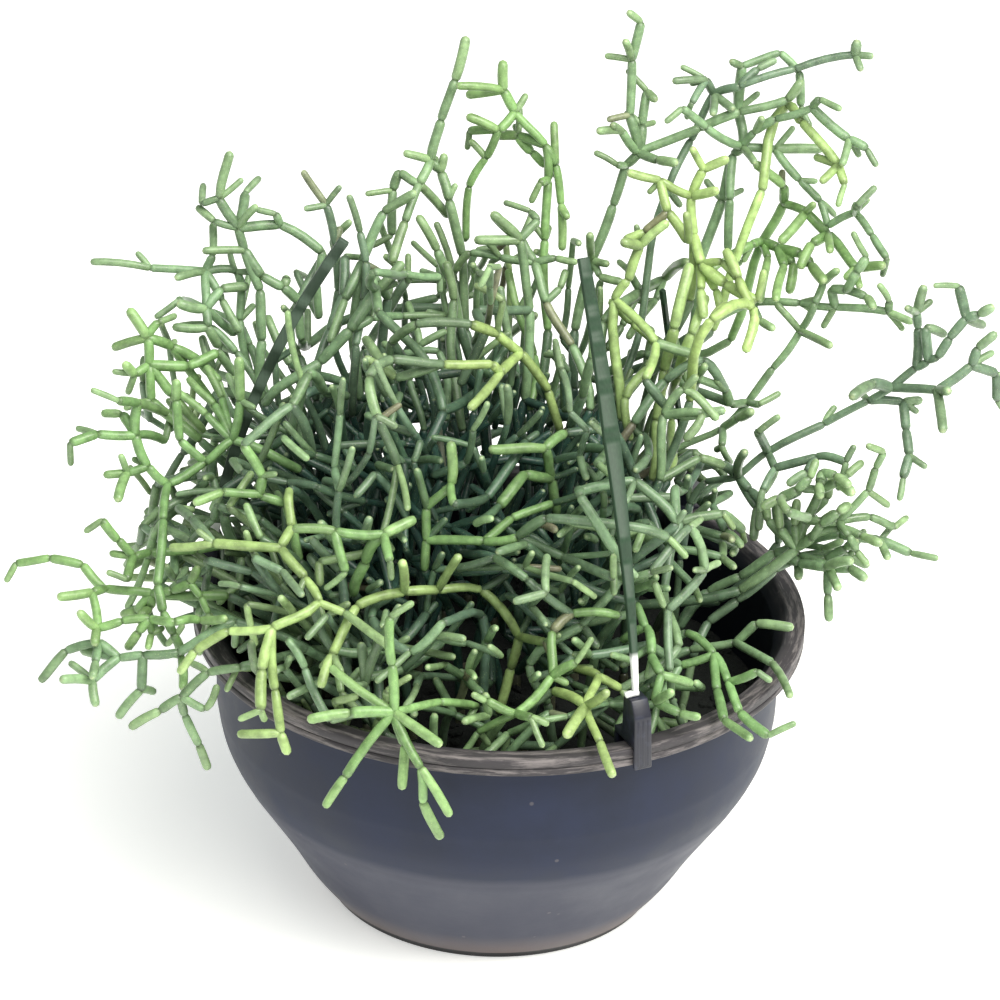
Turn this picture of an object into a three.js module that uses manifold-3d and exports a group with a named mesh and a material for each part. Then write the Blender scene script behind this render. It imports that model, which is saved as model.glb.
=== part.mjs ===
// Potted rhipsalis: a pencil-stemmed cactus in a round hanging pot.
// Millimetres, +Z up, front towards -Y, origin at the centre of the pot's underside.
import * as THREE from "three";
import { mergeVertices } from "three/addons/utils/BufferGeometryUtils.js";
import Module from "manifold-3d";

const wasm = await Module();
wasm.setup();

// Pot
const RIM_RADIUS = 100;
const POT_HEIGHT = 101.6;
const RIM_BAND = 5.9;
const RIM_LIP = 6.3;
const WALL = 2.5;
const FOOT_RADIUS = 55.8;
const FLOOR = 2.6;
const POT_FACETS = 40;
// Outer radius and height at each bend of the bowl, from the foot up
const BOWL = [
  [63.6, 11.5],
  [70.9, 23.9],
  [78.9, 36.4],
  [86.5, 47.8],
  [91.2, 59.3],
  [92.3, 71.8],
];
const DRAIN_COUNT = 4;
const DRAIN_RADIUS = 4;
const DRAIN_CIRCLE = 32;
const DRAIN_FACETS = 8;

// Soil
const SOIL_EDGE = 66;
const SOIL_CROWN = 70;
const SOIL_GAP = 0.35;
const ROOT_DEPTH = 9;
const HOLE_GAP = 0.35;
const HOLE_SIDES = 3;
const ROOT_CLEAR = 1;

// Hanger: each strap stands on a clip that hooks over the rim
const CLIP_WIDTH = 6;
const CLIP_LEG = 2;
const CLIP_TOWER = 10;
const CLIP_TOP = 117.5;
const CLIP_FRONT = 112.5;
const CLIP_LEAN = 1.8;
const CLIP_SLOPE = 3;
const CLIP_DROP = 6.5;
const CLIP_WALL_GAP = 0.4;
const CLIP_RIM_GAP = 0.35;
const CLIP_SEAT_GAP = 0.3;
const STRAP_INSET = 5.3;
const STRAP_SEAT_GAP = 0.3;
const STRAP_STEPS = 10;
const STRAP_FOOT = 1.6;
const STRAP_FLARE = 78;
// How far the stems stay from the middle line of a strap, a clip's tower and its hook
const STRAP_ROOM = 2.6;
const TOWER_ROOM = 5.8;
const HOOK_ROOM = 7;

// Stems
const THIN = 1.3;
const PENCIL = 1.55;
const STOUT = 1.75;
const STEM_SIDES = 3;
const CORNER = 1.21;
const CLEAR = 0.9;
const OWN_CLEAR = 0.35;
const NECK = 6;
const HIDDEN_JOINT = 40;
const KNEE_SHARE = 0.25;
const KNEE_LIFT = 0.85;
const KNEE_LEAST = 14;
const SWAY_COUNT = 16;
const SWAY_FIRST = 8;
const SWAY_STEP = 1.5;
const GAP_SAMPLE = 3;
const BOX_MARGIN = 0.5;
const DEPTH_STEP = 3;
const DEPTH_TRIES = 26;

// The front view that the stems were laid out in, with pixel places in a 1000 by 1000 frame
const VIEW_DISTANCE = 1537.2;
const VIEW_ELEVATION = THREE.MathUtils.degToRad(32.21);
const VIEW_ROLL = THREE.MathUtils.degToRad(2.06);
const VIEW_AIM = new THREE.Vector3(-1.07, 0, 139.76);
const VIEW_FOCAL = 4539.3;
const VIEW_CENTRE = 500;
// How near in that view, and how far in front, a stem grown by rule hides a traced one
const COVER_SHARES = [0.3, 0.5, 0.75, 1];
const COVER_REACH = 9;
const COVER_DEPTH = 1.5;

const UP = new THREE.Vector3(0, 0, 1);
const eye = new THREE.Vector3(
  0,
  -VIEW_DISTANCE * Math.cos(VIEW_ELEVATION),
  VIEW_DISTANCE * Math.sin(VIEW_ELEVATION),
);
const sight = VIEW_AIM.clone().sub(eye).normalize();
const level = sight.clone().cross(UP).normalize();
const upright = level.clone().cross(sight);
const across = level.clone().multiplyScalar(Math.cos(VIEW_ROLL))
  .addScaledVector(upright, Math.sin(VIEW_ROLL));
const along = upright.clone().multiplyScalar(Math.cos(VIEW_ROLL))
  .addScaledVector(level, -Math.sin(VIEW_ROLL));

/** The point seen at a pixel, at a depth beyond the plane through the aim point. */
function seenAt(px, py, depth) {
  const ray = sight.clone()
    .addScaledVector(across, (px - VIEW_CENTRE) / VIEW_FOCAL)
    .addScaledVector(along, (VIEW_CENTRE - py) / VIEW_FOCAL);
  const reach = depth - eye.clone().sub(VIEW_AIM).dot(sight);
  return eye.clone().addScaledVector(ray, reach);
}

/** The column and the row at which a place is seen, and how far into the view it lies. */
function pixelOf(place) {
  const ray = place.clone().sub(eye);
  const deep = ray.dot(sight);
  return {
    column: VIEW_CENTRE + (VIEW_FOCAL * ray.dot(across)) / deep,
    row: VIEW_CENTRE - (VIEW_FOCAL * ray.dot(along)) / deep,
    deep,
  };
}

/** A main stem out of the soil: its radius, first and last depth, then its joints' pixels. */
function main(radius, fromDepth, toDepth, ...pixels) {
  return { radius, fromDepth, toDepth, pixels };
}

/** A twig off an earlier joint: its radius, the depth of its tip, then its joints' pixels. */
function twig(radius, toDepth, ...pixels) {
  return { radius, toDepth, pixels };
}

// Each traced spray: its name, its tint, and its runs of joints
const TRACED = [
  ["reach_right", "deep",
    main(THIN, 30, -5, 690, 503, 706, 482, 738, 476, 768, 452, 824, 424, 868, 401, 891, 388,
      916, 368, 928, 361, 938, 357),
    twig(PENCIL, -12, 738, 476, 745, 452),
    twig(PENCIL, 15, 738, 476, 757, 508, 754, 540),
    twig(PENCIL, -2, 768, 452, 758, 432),
    twig(PENCIL, 5, 768, 452, 775, 469, 762, 492),
    twig(STOUT, -20, 891, 388, 872, 384, 852, 397),
    twig(PENCIL, 10, 868, 401, 903, 402, 922, 400),
    twig(STOUT, 0, 903, 402, 906, 430, 909, 455, 903, 478),
    twig(PENCIL, -15, 891, 388, 937, 390, 949, 391),
    twig(PENCIL, -22, 937, 390, 943, 431),
    twig(PENCIL, -10, 937, 390, 971, 365, 978, 348, 996, 333),
    twig(PENCIL, 5, 971, 365, 996, 374, 997, 400),
    twig(PENCIL, -10, 916, 368, 918, 328, 917, 312, 924, 286),
    twig(THIN, -18, 917, 312, 907, 308),
    twig(PENCIL, 0, 928, 361, 926, 328, 945, 334),
    twig(PENCIL, -12, 938, 357, 950, 338, 966, 318, 959, 286),
    twig(PENCIL, -16, 966, 318, 979, 314, 993, 306),
    twig(PENCIL, 0, 966, 318, 984, 325)],
  ["upper_right", "mid",
    main(THIN, 25, 8, 700, 330, 752, 303, 800, 303, 835, 307, 888, 312, 913, 322),
    twig(THIN, 8, 888, 312, 889, 301),
    twig(PENCIL, 0, 835, 307, 832, 289, 866, 297, 874, 308)],
  ["rise_right", "mid",
    main(THIN, 30, 8, 676, 450, 722, 428, 748, 402, 773, 368, 800, 331, 815, 303, 824, 283, 838, 270),
    twig(THIN, 18, 800, 331, 776, 304),
    twig(THIN, 0, 800, 331, 831, 346),
    twig(PENCIL, 8, 748, 402, 731, 404, 726, 390, 716, 379),
    twig(THIN, -4, 726, 390, 697, 378, 705, 365),
    twig(PENCIL, 12, 722, 428, 738, 418, 752, 411)],
  ["right_arch", "deep",
    main(PENCIL, 30, -10, 720, 600, 778, 543, 777, 503, 800, 490, 817, 457, 846, 462),
    twig(PENCIL, 4, 817, 457, 775, 468)],
  ["right_cluster", "mid",
    main(STOUT, 8, -15, 740, 590, 797, 548, 806, 520, 820, 490, 822, 472),
    twig(STOUT, -20, 820, 490, 838, 482, 853, 493),
    twig(THIN, -10, 838, 482, 847, 476, 863, 462),
    twig(THIN, -15, 806, 520, 838, 521, 868, 491, 876, 468, 884, 452),
    twig(THIN, -5, 868, 491, 889, 506),
    twig(PENCIL, 0, 838, 521, 870, 517, 894, 528)],
  ["right_spread", "mid",
    main(STOUT, 20, -10, 709, 592, 740, 576, 775, 553, 800, 556, 828, 566, 850, 569, 866, 579),
    twig(PENCIL, 0, 828, 566, 828, 595, 829, 621),
    twig(PENCIL, -14, 828, 566, 838, 588),
    twig(PENCIL, 10, 800, 556, 850, 556, 869, 565),
    twig(STOUT, 0, 775, 553, 800, 545, 840, 535, 880, 540, 911, 553),
    twig(PENCIL, -8, 880, 540, 888, 558)],
  ["right_under", "deep",
    main(PENCIL, 15, -5, 709, 622, 737, 600, 775, 570, 795, 563, 799, 579)],
  ["right_rim", "mid",
    main(PENCIL, 5, -8, 690, 650, 735, 642, 757, 624, 793, 627),
    twig(PENCIL, -45, 735, 642, 772, 663, 790, 696)],
  ["right_front", "light",
    main(PENCIL, -25, -52, 686, 633, 714, 654, 728, 682, 740, 712, 768, 736),
    twig(PENCIL, -30, 714, 654, 680, 665),
    twig(PENCIL, -62, 714, 654, 717, 690, 724, 720, 751, 739),
    twig(PENCIL, -45, 728, 682, 757, 671)],
  ["front_right", "light",
    main(PENCIL, -35, -62, 622, 640, 646, 628, 652, 655, 661, 675, 655, 702),
    twig(PENCIL, -50, 661, 675, 692, 684),
    twig(PENCIL, -66, 655, 702, 672, 692),
    twig(PENCIL, -60, 655, 702, 680, 713, 700, 717),
    twig(PENCIL, -38, 646, 628, 636, 603)],
  ["front_tip", "yellow",
    main(PENCIL, -40, -78, 575, 668, 598, 676, 586, 706, 600, 742, 613, 776),
    twig(STOUT, -72, 586, 706, 566, 736),
    twig(PENCIL, -72, 586, 706, 607, 692),
    twig(PENCIL, -45, 598, 676, 621, 689),
    twig(PENCIL, -45, 586, 706, 553, 691)],
  ["front_centre", "light",
    main(PENCIL, -50, -66, 618, 616, 572, 614, 553, 632, 552, 676, 516, 713, 486, 701),
    twig(PENCIL, -72, 516, 713, 531, 717),
    twig(PENCIL, -66, 552, 676, 576, 663),
    twig(THIN, -60, 552, 676, 568, 684),
    twig(THIN, -55, 516, 713, 478, 732)],
  ["front_arch", "yellow",
    main(PENCIL, -20, -64, 498, 712, 511, 668, 518, 636, 481, 590, 438, 590, 404, 592, 357, 607,
      332, 655, 321, 687),
    twig(PENCIL, -50, 518, 636, 545, 642),
    twig(PENCIL, -66, 404, 592, 402, 562),
    twig(PENCIL, -56, 438, 590, 459, 556)],
  ["front_star", "light",
    main(THIN, -45, -78, 476, 706, 440, 702, 394, 712),
    twig(PENCIL, -84, 394, 712, 392, 665, 390, 617),
    twig(STOUT, -82, 394, 712, 350, 713, 308, 720),
    twig(PENCIL, -70, 394, 712, 331, 667),
    twig(PENCIL, -74, 394, 712, 345, 777, 325, 807),
    twig(PENCIL, -75, 394, 712, 405, 745, 402, 789),
    twig(PENCIL, -78, 394, 712, 421, 768, 450, 816),
    twig(PENCIL, -66, 421, 768, 423, 802, 441, 838),
    twig(PENCIL, -86, 394, 712, 441, 745)],
  ["front_left", "yellow",
    main(PENCIL, -40, -62, 290, 490, 291, 527, 282, 548, 305, 578, 318, 602, 272, 628),
    twig(PENCIL, -40, 282, 548, 213, 543, 170, 547),
    twig(STOUT, -66, 272, 628, 262, 670, 261, 710),
    twig(PENCIL, -60, 272, 628, 275, 690, 281, 733, 288, 754),
    twig(PENCIL, -58, 281, 733, 238, 734),
    twig(PENCIL, -55, 272, 628, 228, 631, 195, 651, 179, 673),
    twig(THIN, -55, 318, 602, 345, 613)],
  ["mid_left", "light",
    main(STOUT, -40, -60, 354, 594, 366, 562, 384, 534),
    twig(PENCIL, -60, 384, 534, 335, 531, 293, 529),
    twig(PENCIL, -60, 335, 531, 346, 572),
    twig(STOUT, -55, 384, 534, 415, 519),
    twig(PENCIL, -68, 384, 534, 390, 561)],
  ["mid_vert", "light",
    main(PENCIL, -35, -50, 425, 570, 426, 540, 427, 508, 451, 484, 451, 442),
    twig(THIN, -58, 451, 484, 454, 504),
    twig(PENCIL, -50, 426, 540, 484, 541, 518, 537),
    twig(PENCIL, -30, 484, 541, 512, 518, 553, 503)],
  ["mid_bend", "light",
    main(PENCIL, -15, -40, 558, 515, 552, 478, 545, 449, 490, 449),
    twig(PENCIL, -25, 545, 449, 566, 433),
    twig(STOUT, -40, 552, 478, 525, 474, 499, 506)],
  ["upper_mid_bright", "yellow",
    main(PENCIL, 0, -30, 560, 430, 548, 390, 521, 353, 497, 334, 471, 324),
    twig(PENCIL, -42, 521, 353, 501, 372, 470, 408),
    twig(PENCIL, -36, 501, 372, 492, 364, 443, 364)],
  ["left_mid", "light",
    main(PENCIL, -35, -45, 300, 560, 285, 505, 262, 494, 262, 476, 243, 445),
    twig(PENCIL, -50, 262, 494, 222, 492, 194, 503)],
  ["left_fan", "light",
    main(PENCIL, -5, -25, 300, 470, 232, 440, 205, 462, 168, 483, 148, 466, 136, 435, 138, 403),
    twig(PENCIL, -35, 168, 483, 163, 520, 157, 585),
    twig(PENCIL, -30, 136, 435, 97, 434, 70, 443),
    twig(PENCIL, -20, 136, 435, 121, 414, 102, 413),
    twig(PENCIL, -38, 138, 403, 119, 401),
    twig(PENCIL, -20, 148, 466, 127, 473, 104, 475),
    twig(PENCIL, -32, 127, 473, 118, 500),
    twig(PENCIL, -5, 138, 403, 166, 413),
    twig(PENCIL, 0, 136, 435, 165, 441)],
  ["left_low", "light",
    main(PENCIL, -10, -28, 235, 545, 196, 550, 150, 553, 134, 556, 118, 540, 102, 520),
    twig(THIN, -20, 134, 556, 110, 553),
    twig(PENCIL, -30, 134, 556, 127, 580)],
  ["left_arc", "light",
    main(PENCIL, -25, -18, 228, 596, 152, 593, 105, 588, 82, 565, 50, 558, 16, 563),
    twig(PENCIL, -36, 105, 588, 92, 592, 58, 597),
    twig(PENCIL, -42, 92, 592, 97, 628, 79, 612),
    twig(PENCIL, -15, 152, 593, 136, 611, 122, 614)],
  ["left_drop", "mid",
    main(PENCIL, -38, -30, 235, 622, 178, 652, 143, 655, 119, 657, 97, 643, 66, 651, 40, 681),
    twig(PENCIL, -40, 119, 657, 93, 681, 96, 706),
    twig(PENCIL, -48, 93, 681, 61, 680),
    twig(PENCIL, -30, 143, 655, 141, 690, 118, 718),
    twig(THIN, -22, 141, 690, 154, 692)],
  ["left_hang", "mid",
    main(PENCIL, -46, -40, 240, 667, 208, 673, 181, 697, 160, 711, 130, 728),
    twig(PENCIL, -28, 181, 697, 185, 715, 199, 745, 208, 769),
    twig(THIN, -46, 181, 697, 205, 709, 217, 685)],
  ["star_left", "mid",
    main(PENCIL, 18, 0, 262, 400, 262, 340, 260, 290, 245, 250, 238, 228, 220, 198, 230, 152),
    twig(THIN, 4, 220, 198, 202, 204),
    twig(THIN, 5, 238, 228, 214, 221, 197, 207),
    twig(PENCIL, 15, 238, 228, 245, 193),
    twig(THIN, 0, 238, 228, 257, 206),
    twig(PENCIL, 12, 238, 228, 280, 225, 322, 252),
    twig(THIN, 5, 280, 225, 276, 214),
    twig(THIN, 4, 245, 250, 203, 251),
    twig(PENCIL, 15, 245, 250, 262, 276, 283, 287, 288, 277),
    twig(PENCIL, 22, 283, 287, 298, 302, 302, 340)],
  ["long_left", "mid",
    main(THIN, 22, 8, 250, 370, 240, 320, 236, 272, 205, 271, 150, 268, 91, 262),
    twig(THIN, 4, 205, 271, 176, 278),
    twig(PENCIL, 2, 205, 271, 206, 308, 178, 303),
    twig(THIN, 12, 205, 271, 213, 255, 213, 223),
    twig(PENCIL, 6, 206, 308, 207, 327, 173, 327),
    twig(PENCIL, 20, 206, 308, 235, 334),
    twig(PENCIL, 14, 207, 327, 218, 346)],
  ["arc_upper_left", "deep",
    main(THIN, 32, 20, 332, 340, 338, 290, 335, 245, 326, 205, 303, 171),
    twig(THIN, 26, 335, 245, 340, 227)],
  ["far_left_star", "light",
    main(PENCIL, 0, -5, 200, 440, 152, 400, 149, 365, 147, 338, 129, 309),
    twig(THIN, -4, 147, 338, 159, 322),
    twig(PENCIL, 2, 147, 338, 113, 348),
    twig(PENCIL, 10, 147, 338, 172, 347, 186, 366),
    twig(PENCIL, -10, 149, 365, 135, 374, 124, 363),
    twig(STOUT, 6, 149, 365, 188, 366, 218, 352),
    twig(PENCIL, 22, 186, 366, 230, 428)],
  ["upper_mid", "light",
    main(PENCIL, 30, 18, 548, 330, 545, 240, 548, 180, 545, 145, 515, 112, 504, 90, 503, 61),
    twig(THIN, 12, 504, 90, 457, 86),
    twig(PENCIL, 26, 504, 90, 467, 95),
    twig(PENCIL, 16, 515, 112, 498, 130, 467, 117),
    twig(PENCIL, 26, 498, 130, 469, 131),
    twig(STOUT, 32, 545, 145, 518, 136, 497, 136),
    twig(THIN, 34, 498, 130, 486, 158, 469, 187, 466, 240),
    twig(THIN, 30, 545, 145, 556, 165, 561, 205, 562, 250),
    twig(THIN, 20, 556, 165, 554, 122)],
  ["tall_left_mid", "mid",
    main(PENCIL, 35, 14, 466, 330, 462, 255, 449, 200, 440, 172, 431, 160, 441, 120, 455, 80, 466, 37),
    twig(THIN, 18, 431, 160, 404, 153),
    twig(THIN, 24, 440, 172, 444, 154),
    twig(PENCIL, 12, 431, 160, 419, 184, 405, 222, 392, 262),
    twig(PENCIL, 26, 419, 184, 400, 172, 393, 190, 392, 235),
    twig(PENCIL, 30, 419, 184, 448, 216)],
  ["upper_left_mid", "mid",
    main(PENCIL, 25, 14, 360, 400, 352, 330, 362, 262, 384, 212, 415, 192),
    twig(PENCIL, 10, 362, 262, 345, 300, 330, 342)],
  ["top_right", "mid",
    main(PENCIL, 30, 6, 575, 330, 592, 260, 613, 205, 626, 166, 638, 152, 630, 115, 632, 60, 641, 22),
    twig(THIN, 2, 641, 22, 628, 12),
    twig(THIN, 2, 632, 60, 625, 41),
    twig(PENCIL, 16, 638, 152, 642, 125, 647, 91),
    twig(THIN, 12, 647, 91, 656, 100),
    twig(PENCIL, 0, 638, 152, 622, 131, 598, 131),
    twig(THIN, 2, 622, 131, 612, 125),
    twig(PENCIL, 10, 638, 152, 700, 128, 740, 112, 787, 99, 802, 81),
    twig(PENCIL, 4, 638, 152, 658, 160, 677, 163),
    twig(THIN, 14, 626, 166, 617, 165)],
  ["crown", "mid",
    main(PENCIL, 32, 14, 690, 340, 700, 262, 722, 200, 733, 155, 742, 147, 738, 110, 742, 66),
    twig(THIN, 10, 742, 66, 731, 61),
    twig(THIN, 18, 742, 66, 780, 53, 799, 72, 801, 106),
    twig(THIN, 2, 742, 147, 755, 132, 776, 119, 812, 107, 820, 99),
    twig(PENCIL, 4, 812, 107, 849, 139, 867, 149),
    twig(THIN, 0, 849, 139, 842, 165),
    twig(PENCIL, 24, 742, 147, 775, 149, 822, 149),
    twig(THIN, 2, 742, 147, 706, 127, 682, 108),
    twig(THIN, 18, 775, 149, 800, 180, 820, 201, 828, 226),
    twig(THIN, 4, 828, 226, 855, 213, 872, 235, 887, 258),
    twig(PENCIL, 2, 855, 213, 857, 206)],
  ["cascade", "light",
    main(PENCIL, 34, 18, 730, 340, 762, 242, 783, 203, 783, 186, 755, 163),
    twig(PENCIL, 2, 783, 203, 806, 212, 828, 234, 856, 268, 884, 266),
    twig(THIN, 0, 856, 268, 860, 287),
    twig(PENCIL, 16, 806, 212, 780, 242),
    twig(THIN, 18, 806, 212, 814, 204),
    twig(PENCIL, 14, 828, 234, 812, 244, 800, 268)],
  ["falling_right", "yellow",
    main(PENCIL, 26, 2, 712, 330, 735, 262, 762, 190, 787, 105, 802, 122, 838, 165, 845, 184),
    twig(THIN, 0, 838, 165, 821, 182),
    twig(THIN, 12, 838, 165, 815, 157)],
  ["yellow_tangle", "yellow",
    main(PENCIL, 14, 4, 690, 300, 694, 235, 692, 196, 704, 170, 728, 158),
    twig(THIN, 0, 704, 170, 692, 148),
    twig(PENCIL, 0, 692, 196, 660, 180, 628, 172),
    twig(PENCIL, 2, 692, 196, 718, 190)],
  ["top_far_right", "deep",
    main(THIN, 22, 8, 640, 330, 655, 225, 668, 188, 691, 140, 714, 94, 740, 86, 795, 69, 855, 55,
      873, 56),
    twig(PENCIL, 6, 855, 55, 857, 41),
    twig(THIN, 6, 855, 55, 861, 70),
    twig(THIN, 4, 714, 94, 706, 80, 673, 81),
    twig(THIN, 2, 706, 80, 692, 103),
    twig(THIN, 6, 714, 94, 713, 114),
    twig(THIN, 14, 714, 94, 733, 109)],
  ["mid_stub", "mid",
    main(PENCIL, 20, 2, 525, 400, 530, 310, 520, 240, 492, 213),
    twig(PENCIL, 5, 520, 240, 475, 240),
    twig(THIN, 12, 520, 240, 538, 220, 530, 211)],
  ["pale_mid", "yellow",
    main(PENCIL, 10, 0, 622, 420, 615, 300, 628, 280, 641, 246, 668, 222),
    twig(PENCIL, -10, 615, 300, 656, 343, 645, 380),
    twig(PENCIL, -4, 641, 246, 622, 242)],
  ["pale_right", "yellow",
    main(PENCIL, 2, -12, 690, 400, 712, 320, 752, 308, 746, 352),
    twig(PENCIL, 0, 752, 308, 738, 278, 725, 250),
    twig(PENCIL, -10, 712, 320, 725, 306)],
  ["right_mid", "mid",
    main(PENCIL, -10, -15, 660, 480, 664, 415, 684, 390, 718, 419),
    twig(THIN, -16, 684, 390, 697, 376),
    twig(PENCIL, -20, 664, 415, 702, 414, 685, 440),
    twig(PENCIL, 0, 660, 480, 700, 458, 724, 466)],
];

// Stems grown by rule, to fill the mound between the traced ones
const SPOT_COUNT = 52;
const SPOT_RADIUS = 66;
const ROOT_PULL = 0.6;
const FILLER_NAMES = ["filler_a", "filler_b", "filler_c", "filler_d", "filler_e", "filler_f",
  "filler_g", "filler_h", "filler_i", "filler_j"];
const MOUND_CENTRE = new THREE.Vector3(-14, 8, 124);
const MOUND_RADII = new THREE.Vector3(106, 92, 86);
// The inner wall shows bare beyond this corner at the right, and under this height
const BARE_WALL = new THREE.Vector3(40, -45, 125);
const LEADER_LENGTHS = [22, 34];
const LEADER_JOINTS = 3;
const LEADER_RISE = 1.2;
const LEADER_SPREAD = 0.7;
const SHOOT_LENGTHS = [13, 25];
const SHOOT_TRIES = 10;
const SHOOT_JOINTS = [2, 4];
const SHOOT_SPREAD = 1.1;
const START_TRIES = 4;
const CROWD_REACH = 22;
const SEGMENT_BUDGET = 960;
const TURN_LIMIT = 20000;
const SEED = 20261127;

// Colours and roughness
const POT_COLOR = 0x464a5a;
const POT_ROUGHNESS = 0.7;
const SOIL_COLOR = 0x23211c;
const SOIL_ROUGHNESS = 0.95;
const CLIP_COLOR = 0x1d1f26;
const STRAP_COLOR = 0x5b7562;
const PLASTIC_ROUGHNESS = 0.5;
const STEM_ROUGHNESS = 0.55;
const TINTS = {
  yellow: 0x9fb457,
  light: 0x7fa35a,
  mid: 0x5a8a50,
  deep: 0x3c6646,
};

/** A steady stream of numbers from 0 to 1, the same in every run. */
function makeRandom(seed) {
  let state = seed | 0;
  return () => {
    state = (state + 0x6d2b79f5) | 0;
    let t = Math.imul(state ^ (state >>> 15), 1 | state);
    t = (t + Math.imul(t ^ (t >>> 7), 61 | t)) ^ t;
    return ((t ^ (t >>> 14)) >>> 0) / 4294967296;
  };
}
const random = makeRandom(SEED);

/** A random direction, even over the sphere. */
function randomDirection() {
  for (;;) {
    const v = new THREE.Vector3(random() * 2 - 1, random() * 2 - 1, random() * 2 - 1);
    const size = v.length();
    if (size > 0.1 && size < 1) return v.divideScalar(size);
  }
}

/** The least distance between the segments ab and cd. */
function segmentDistance(a, b, c, d) {
  const ab = b.clone().sub(a);
  const cd = d.clone().sub(c);
  const ca = a.clone().sub(c);
  const abab = ab.dot(ab);
  const cdcd = cd.dot(cd);
  const abcd = ab.dot(cd);
  const abca = ab.dot(ca);
  const cdca = cd.dot(ca);
  const spread = abab * cdcd - abcd * abcd;
  let s = spread > 1e-9 ? (abcd * cdca - abca * cdcd) / spread : 0;
  s = Math.min(Math.max(s, 0), 1);
  let t = (abcd * s + cdca) / cdcd;
  t = Math.min(Math.max(t, 0), 1);
  s = (abcd * t - abca) / abab;
  s = Math.min(Math.max(s, 0), 1);
  return ca.addScaledVector(ab, s).addScaledVector(cd, -t).length();
}

const INNER_RADIUS = BOWL[BOWL.length - 1][0] - WALL;
const INNER_BOWL = BOWL.filter((_, i) => i % 2 === 1).map(([reach, z]) => [reach - WALL, z]);
const [[lowBend, lowBendHeight], [topBend, topBendHeight]] = INNER_BOWL.slice(-2);
const EDGE_SHARE = (SOIL_EDGE - lowBendHeight) / (topBendHeight - lowBendHeight);
const SOIL_RADIUS = THREE.MathUtils.lerp(lowBend, topBend, EDGE_SHARE) - SOIL_GAP;

/** The height of the soil's surface at a distance from the pot's axis. */
function soilHeight(reach) {
  return SOIL_CROWN - (SOIL_CROWN - SOIL_EDGE) * Math.min(reach / SOIL_RADIUS, 1);
}

/** The distance from a place in the pot's section to a box in it. */
function boxGap(reach, z, [near, far, low, high]) {
  const dr = Math.max(near - reach, 0, reach - far);
  const dz = Math.max(low - z, 0, z - high);
  return Math.sqrt(dr * dr + dz * dz);
}
const WALL_BOX = [INNER_RADIUS - BOX_MARGIN, INNER_RADIUS + WALL + BOX_MARGIN, 0, POT_HEIGHT - RIM_BAND];
const RIM_BOX = [INNER_RADIUS, RIM_RADIUS, POT_HEIGHT - RIM_BAND, POT_HEIGHT];

/** The least distance from a segment to the pot and its soil. */
function potGap(a, b) {
  const steps = Math.ceil(a.distanceTo(b) / GAP_SAMPLE);
  let least = Infinity;
  for (let i = 0; i <= steps; i += 1) {
    const p = a.clone().lerp(b, i / steps);
    const reach = Math.sqrt(p.x * p.x + p.y * p.y);
    least = Math.min(least, boxGap(reach, p.z, WALL_BOX), boxGap(reach, p.z, RIM_BOX));
    if (reach < INNER_RADIUS) least = Math.min(least, p.z - soilHeight(reach));
  }
  return least;
}

// Clips and straps, each at its bearing round the rim from the front towards +X
const HANGERS = [
  { name: "front", bearing: 27, width: 5.4, tip: 3.6, thick: 2, bend: [85.8, 172], end: [47.5, 246] },
  { name: "back", bearing: 139, width: 1.8, tip: 1.8, thick: 1.8, bend: [85.6, 149.2], end: [76, 190] },
  { name: "left", bearing: 267, width: 2.2, tip: 2.2, thick: 3.5, bend: [86.1, 175.2], end: [53, 228.5] },
];
const STRAP_REACH = RIM_RADIUS - STRAP_INSET;
const TOWER_MIDDLE = RIM_RADIUS + CLIP_RIM_GAP + CLIP_LEG - CLIP_TOWER / 2;
const STRAP_START = CLIP_TOP + STRAP_SEAT_GAP;

/** A place at a distance from the pot's axis, at a bearing in degrees from the front. */
function atBearing(bearing, reach, z) {
  const turn = THREE.MathUtils.degToRad(bearing);
  return new THREE.Vector3(reach * Math.sin(turn), -reach * Math.cos(turn), z);
}

/** The strap's middle line in its own radial plane, as distance and height. */
function strapLine({ bend, end }) {
  const curve = new THREE.QuadraticBezierCurve(
    new THREE.Vector2(STRAP_REACH, STRAP_START),
    new THREE.Vector2(...bend),
    new THREE.Vector2(...end),
  );
  return curve.getPoints(STRAP_STEPS);
}

// Everything that a new stem has to clear
const clutter = [];
const hookHeight = POT_HEIGHT - RIM_BAND / 3;
for (const hanger of HANGERS) {
  const line = strapLine(hanger).map((p) => atBearing(hanger.bearing, p.x, p.y));
  for (let i = 1; i < line.length; i += 1) {
    clutter.push({ a: line[i - 1], b: line[i], radius: STRAP_ROOM, owner: "hanger" });
  }
  const foot = atBearing(hanger.bearing, TOWER_MIDDLE, POT_HEIGHT - CLIP_DROP);
  const top = atBearing(hanger.bearing, TOWER_MIDDLE, CLIP_TOP);
  clutter.push({ a: foot, b: top, radius: TOWER_ROOM, owner: "hanger" });
  const inner = atBearing(hanger.bearing, INNER_RADIUS + WALL, hookHeight);
  const outer = atBearing(hanger.bearing, RIM_RADIUS, hookHeight);
  clutter.push({ a: inner, b: outer, radius: HOOK_ROOM, owner: "hanger" });
}

/** How far a new segment stays from everything else, less what its own spray allows. */
function gapAround(a, b, radius, owner) {
  let least = potGap(a, b) - radius;
  for (const other of clutter) {
    if (other.owner === owner && (other.a === a || other.b === a)) continue;
    const ease = other.owner === owner ? CLEAR - OWN_CLEAR : 0;
    const gap = segmentDistance(a, b, other.a, other.b) - radius - other.radius + ease;
    least = Math.min(least, gap);
  }
  return least;
}

const sprays = [];

/** Adds a run of joints to a spray and to what later stems have to clear. */
function addRun(spray, radius, joints) {
  spray.runs.push({ radius, joints });
  for (let i = 1; i < joints.length; i += 1) {
    clutter.push({ a: joints[i - 1], b: joints[i], radius, owner: spray.name });
  }
}

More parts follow.
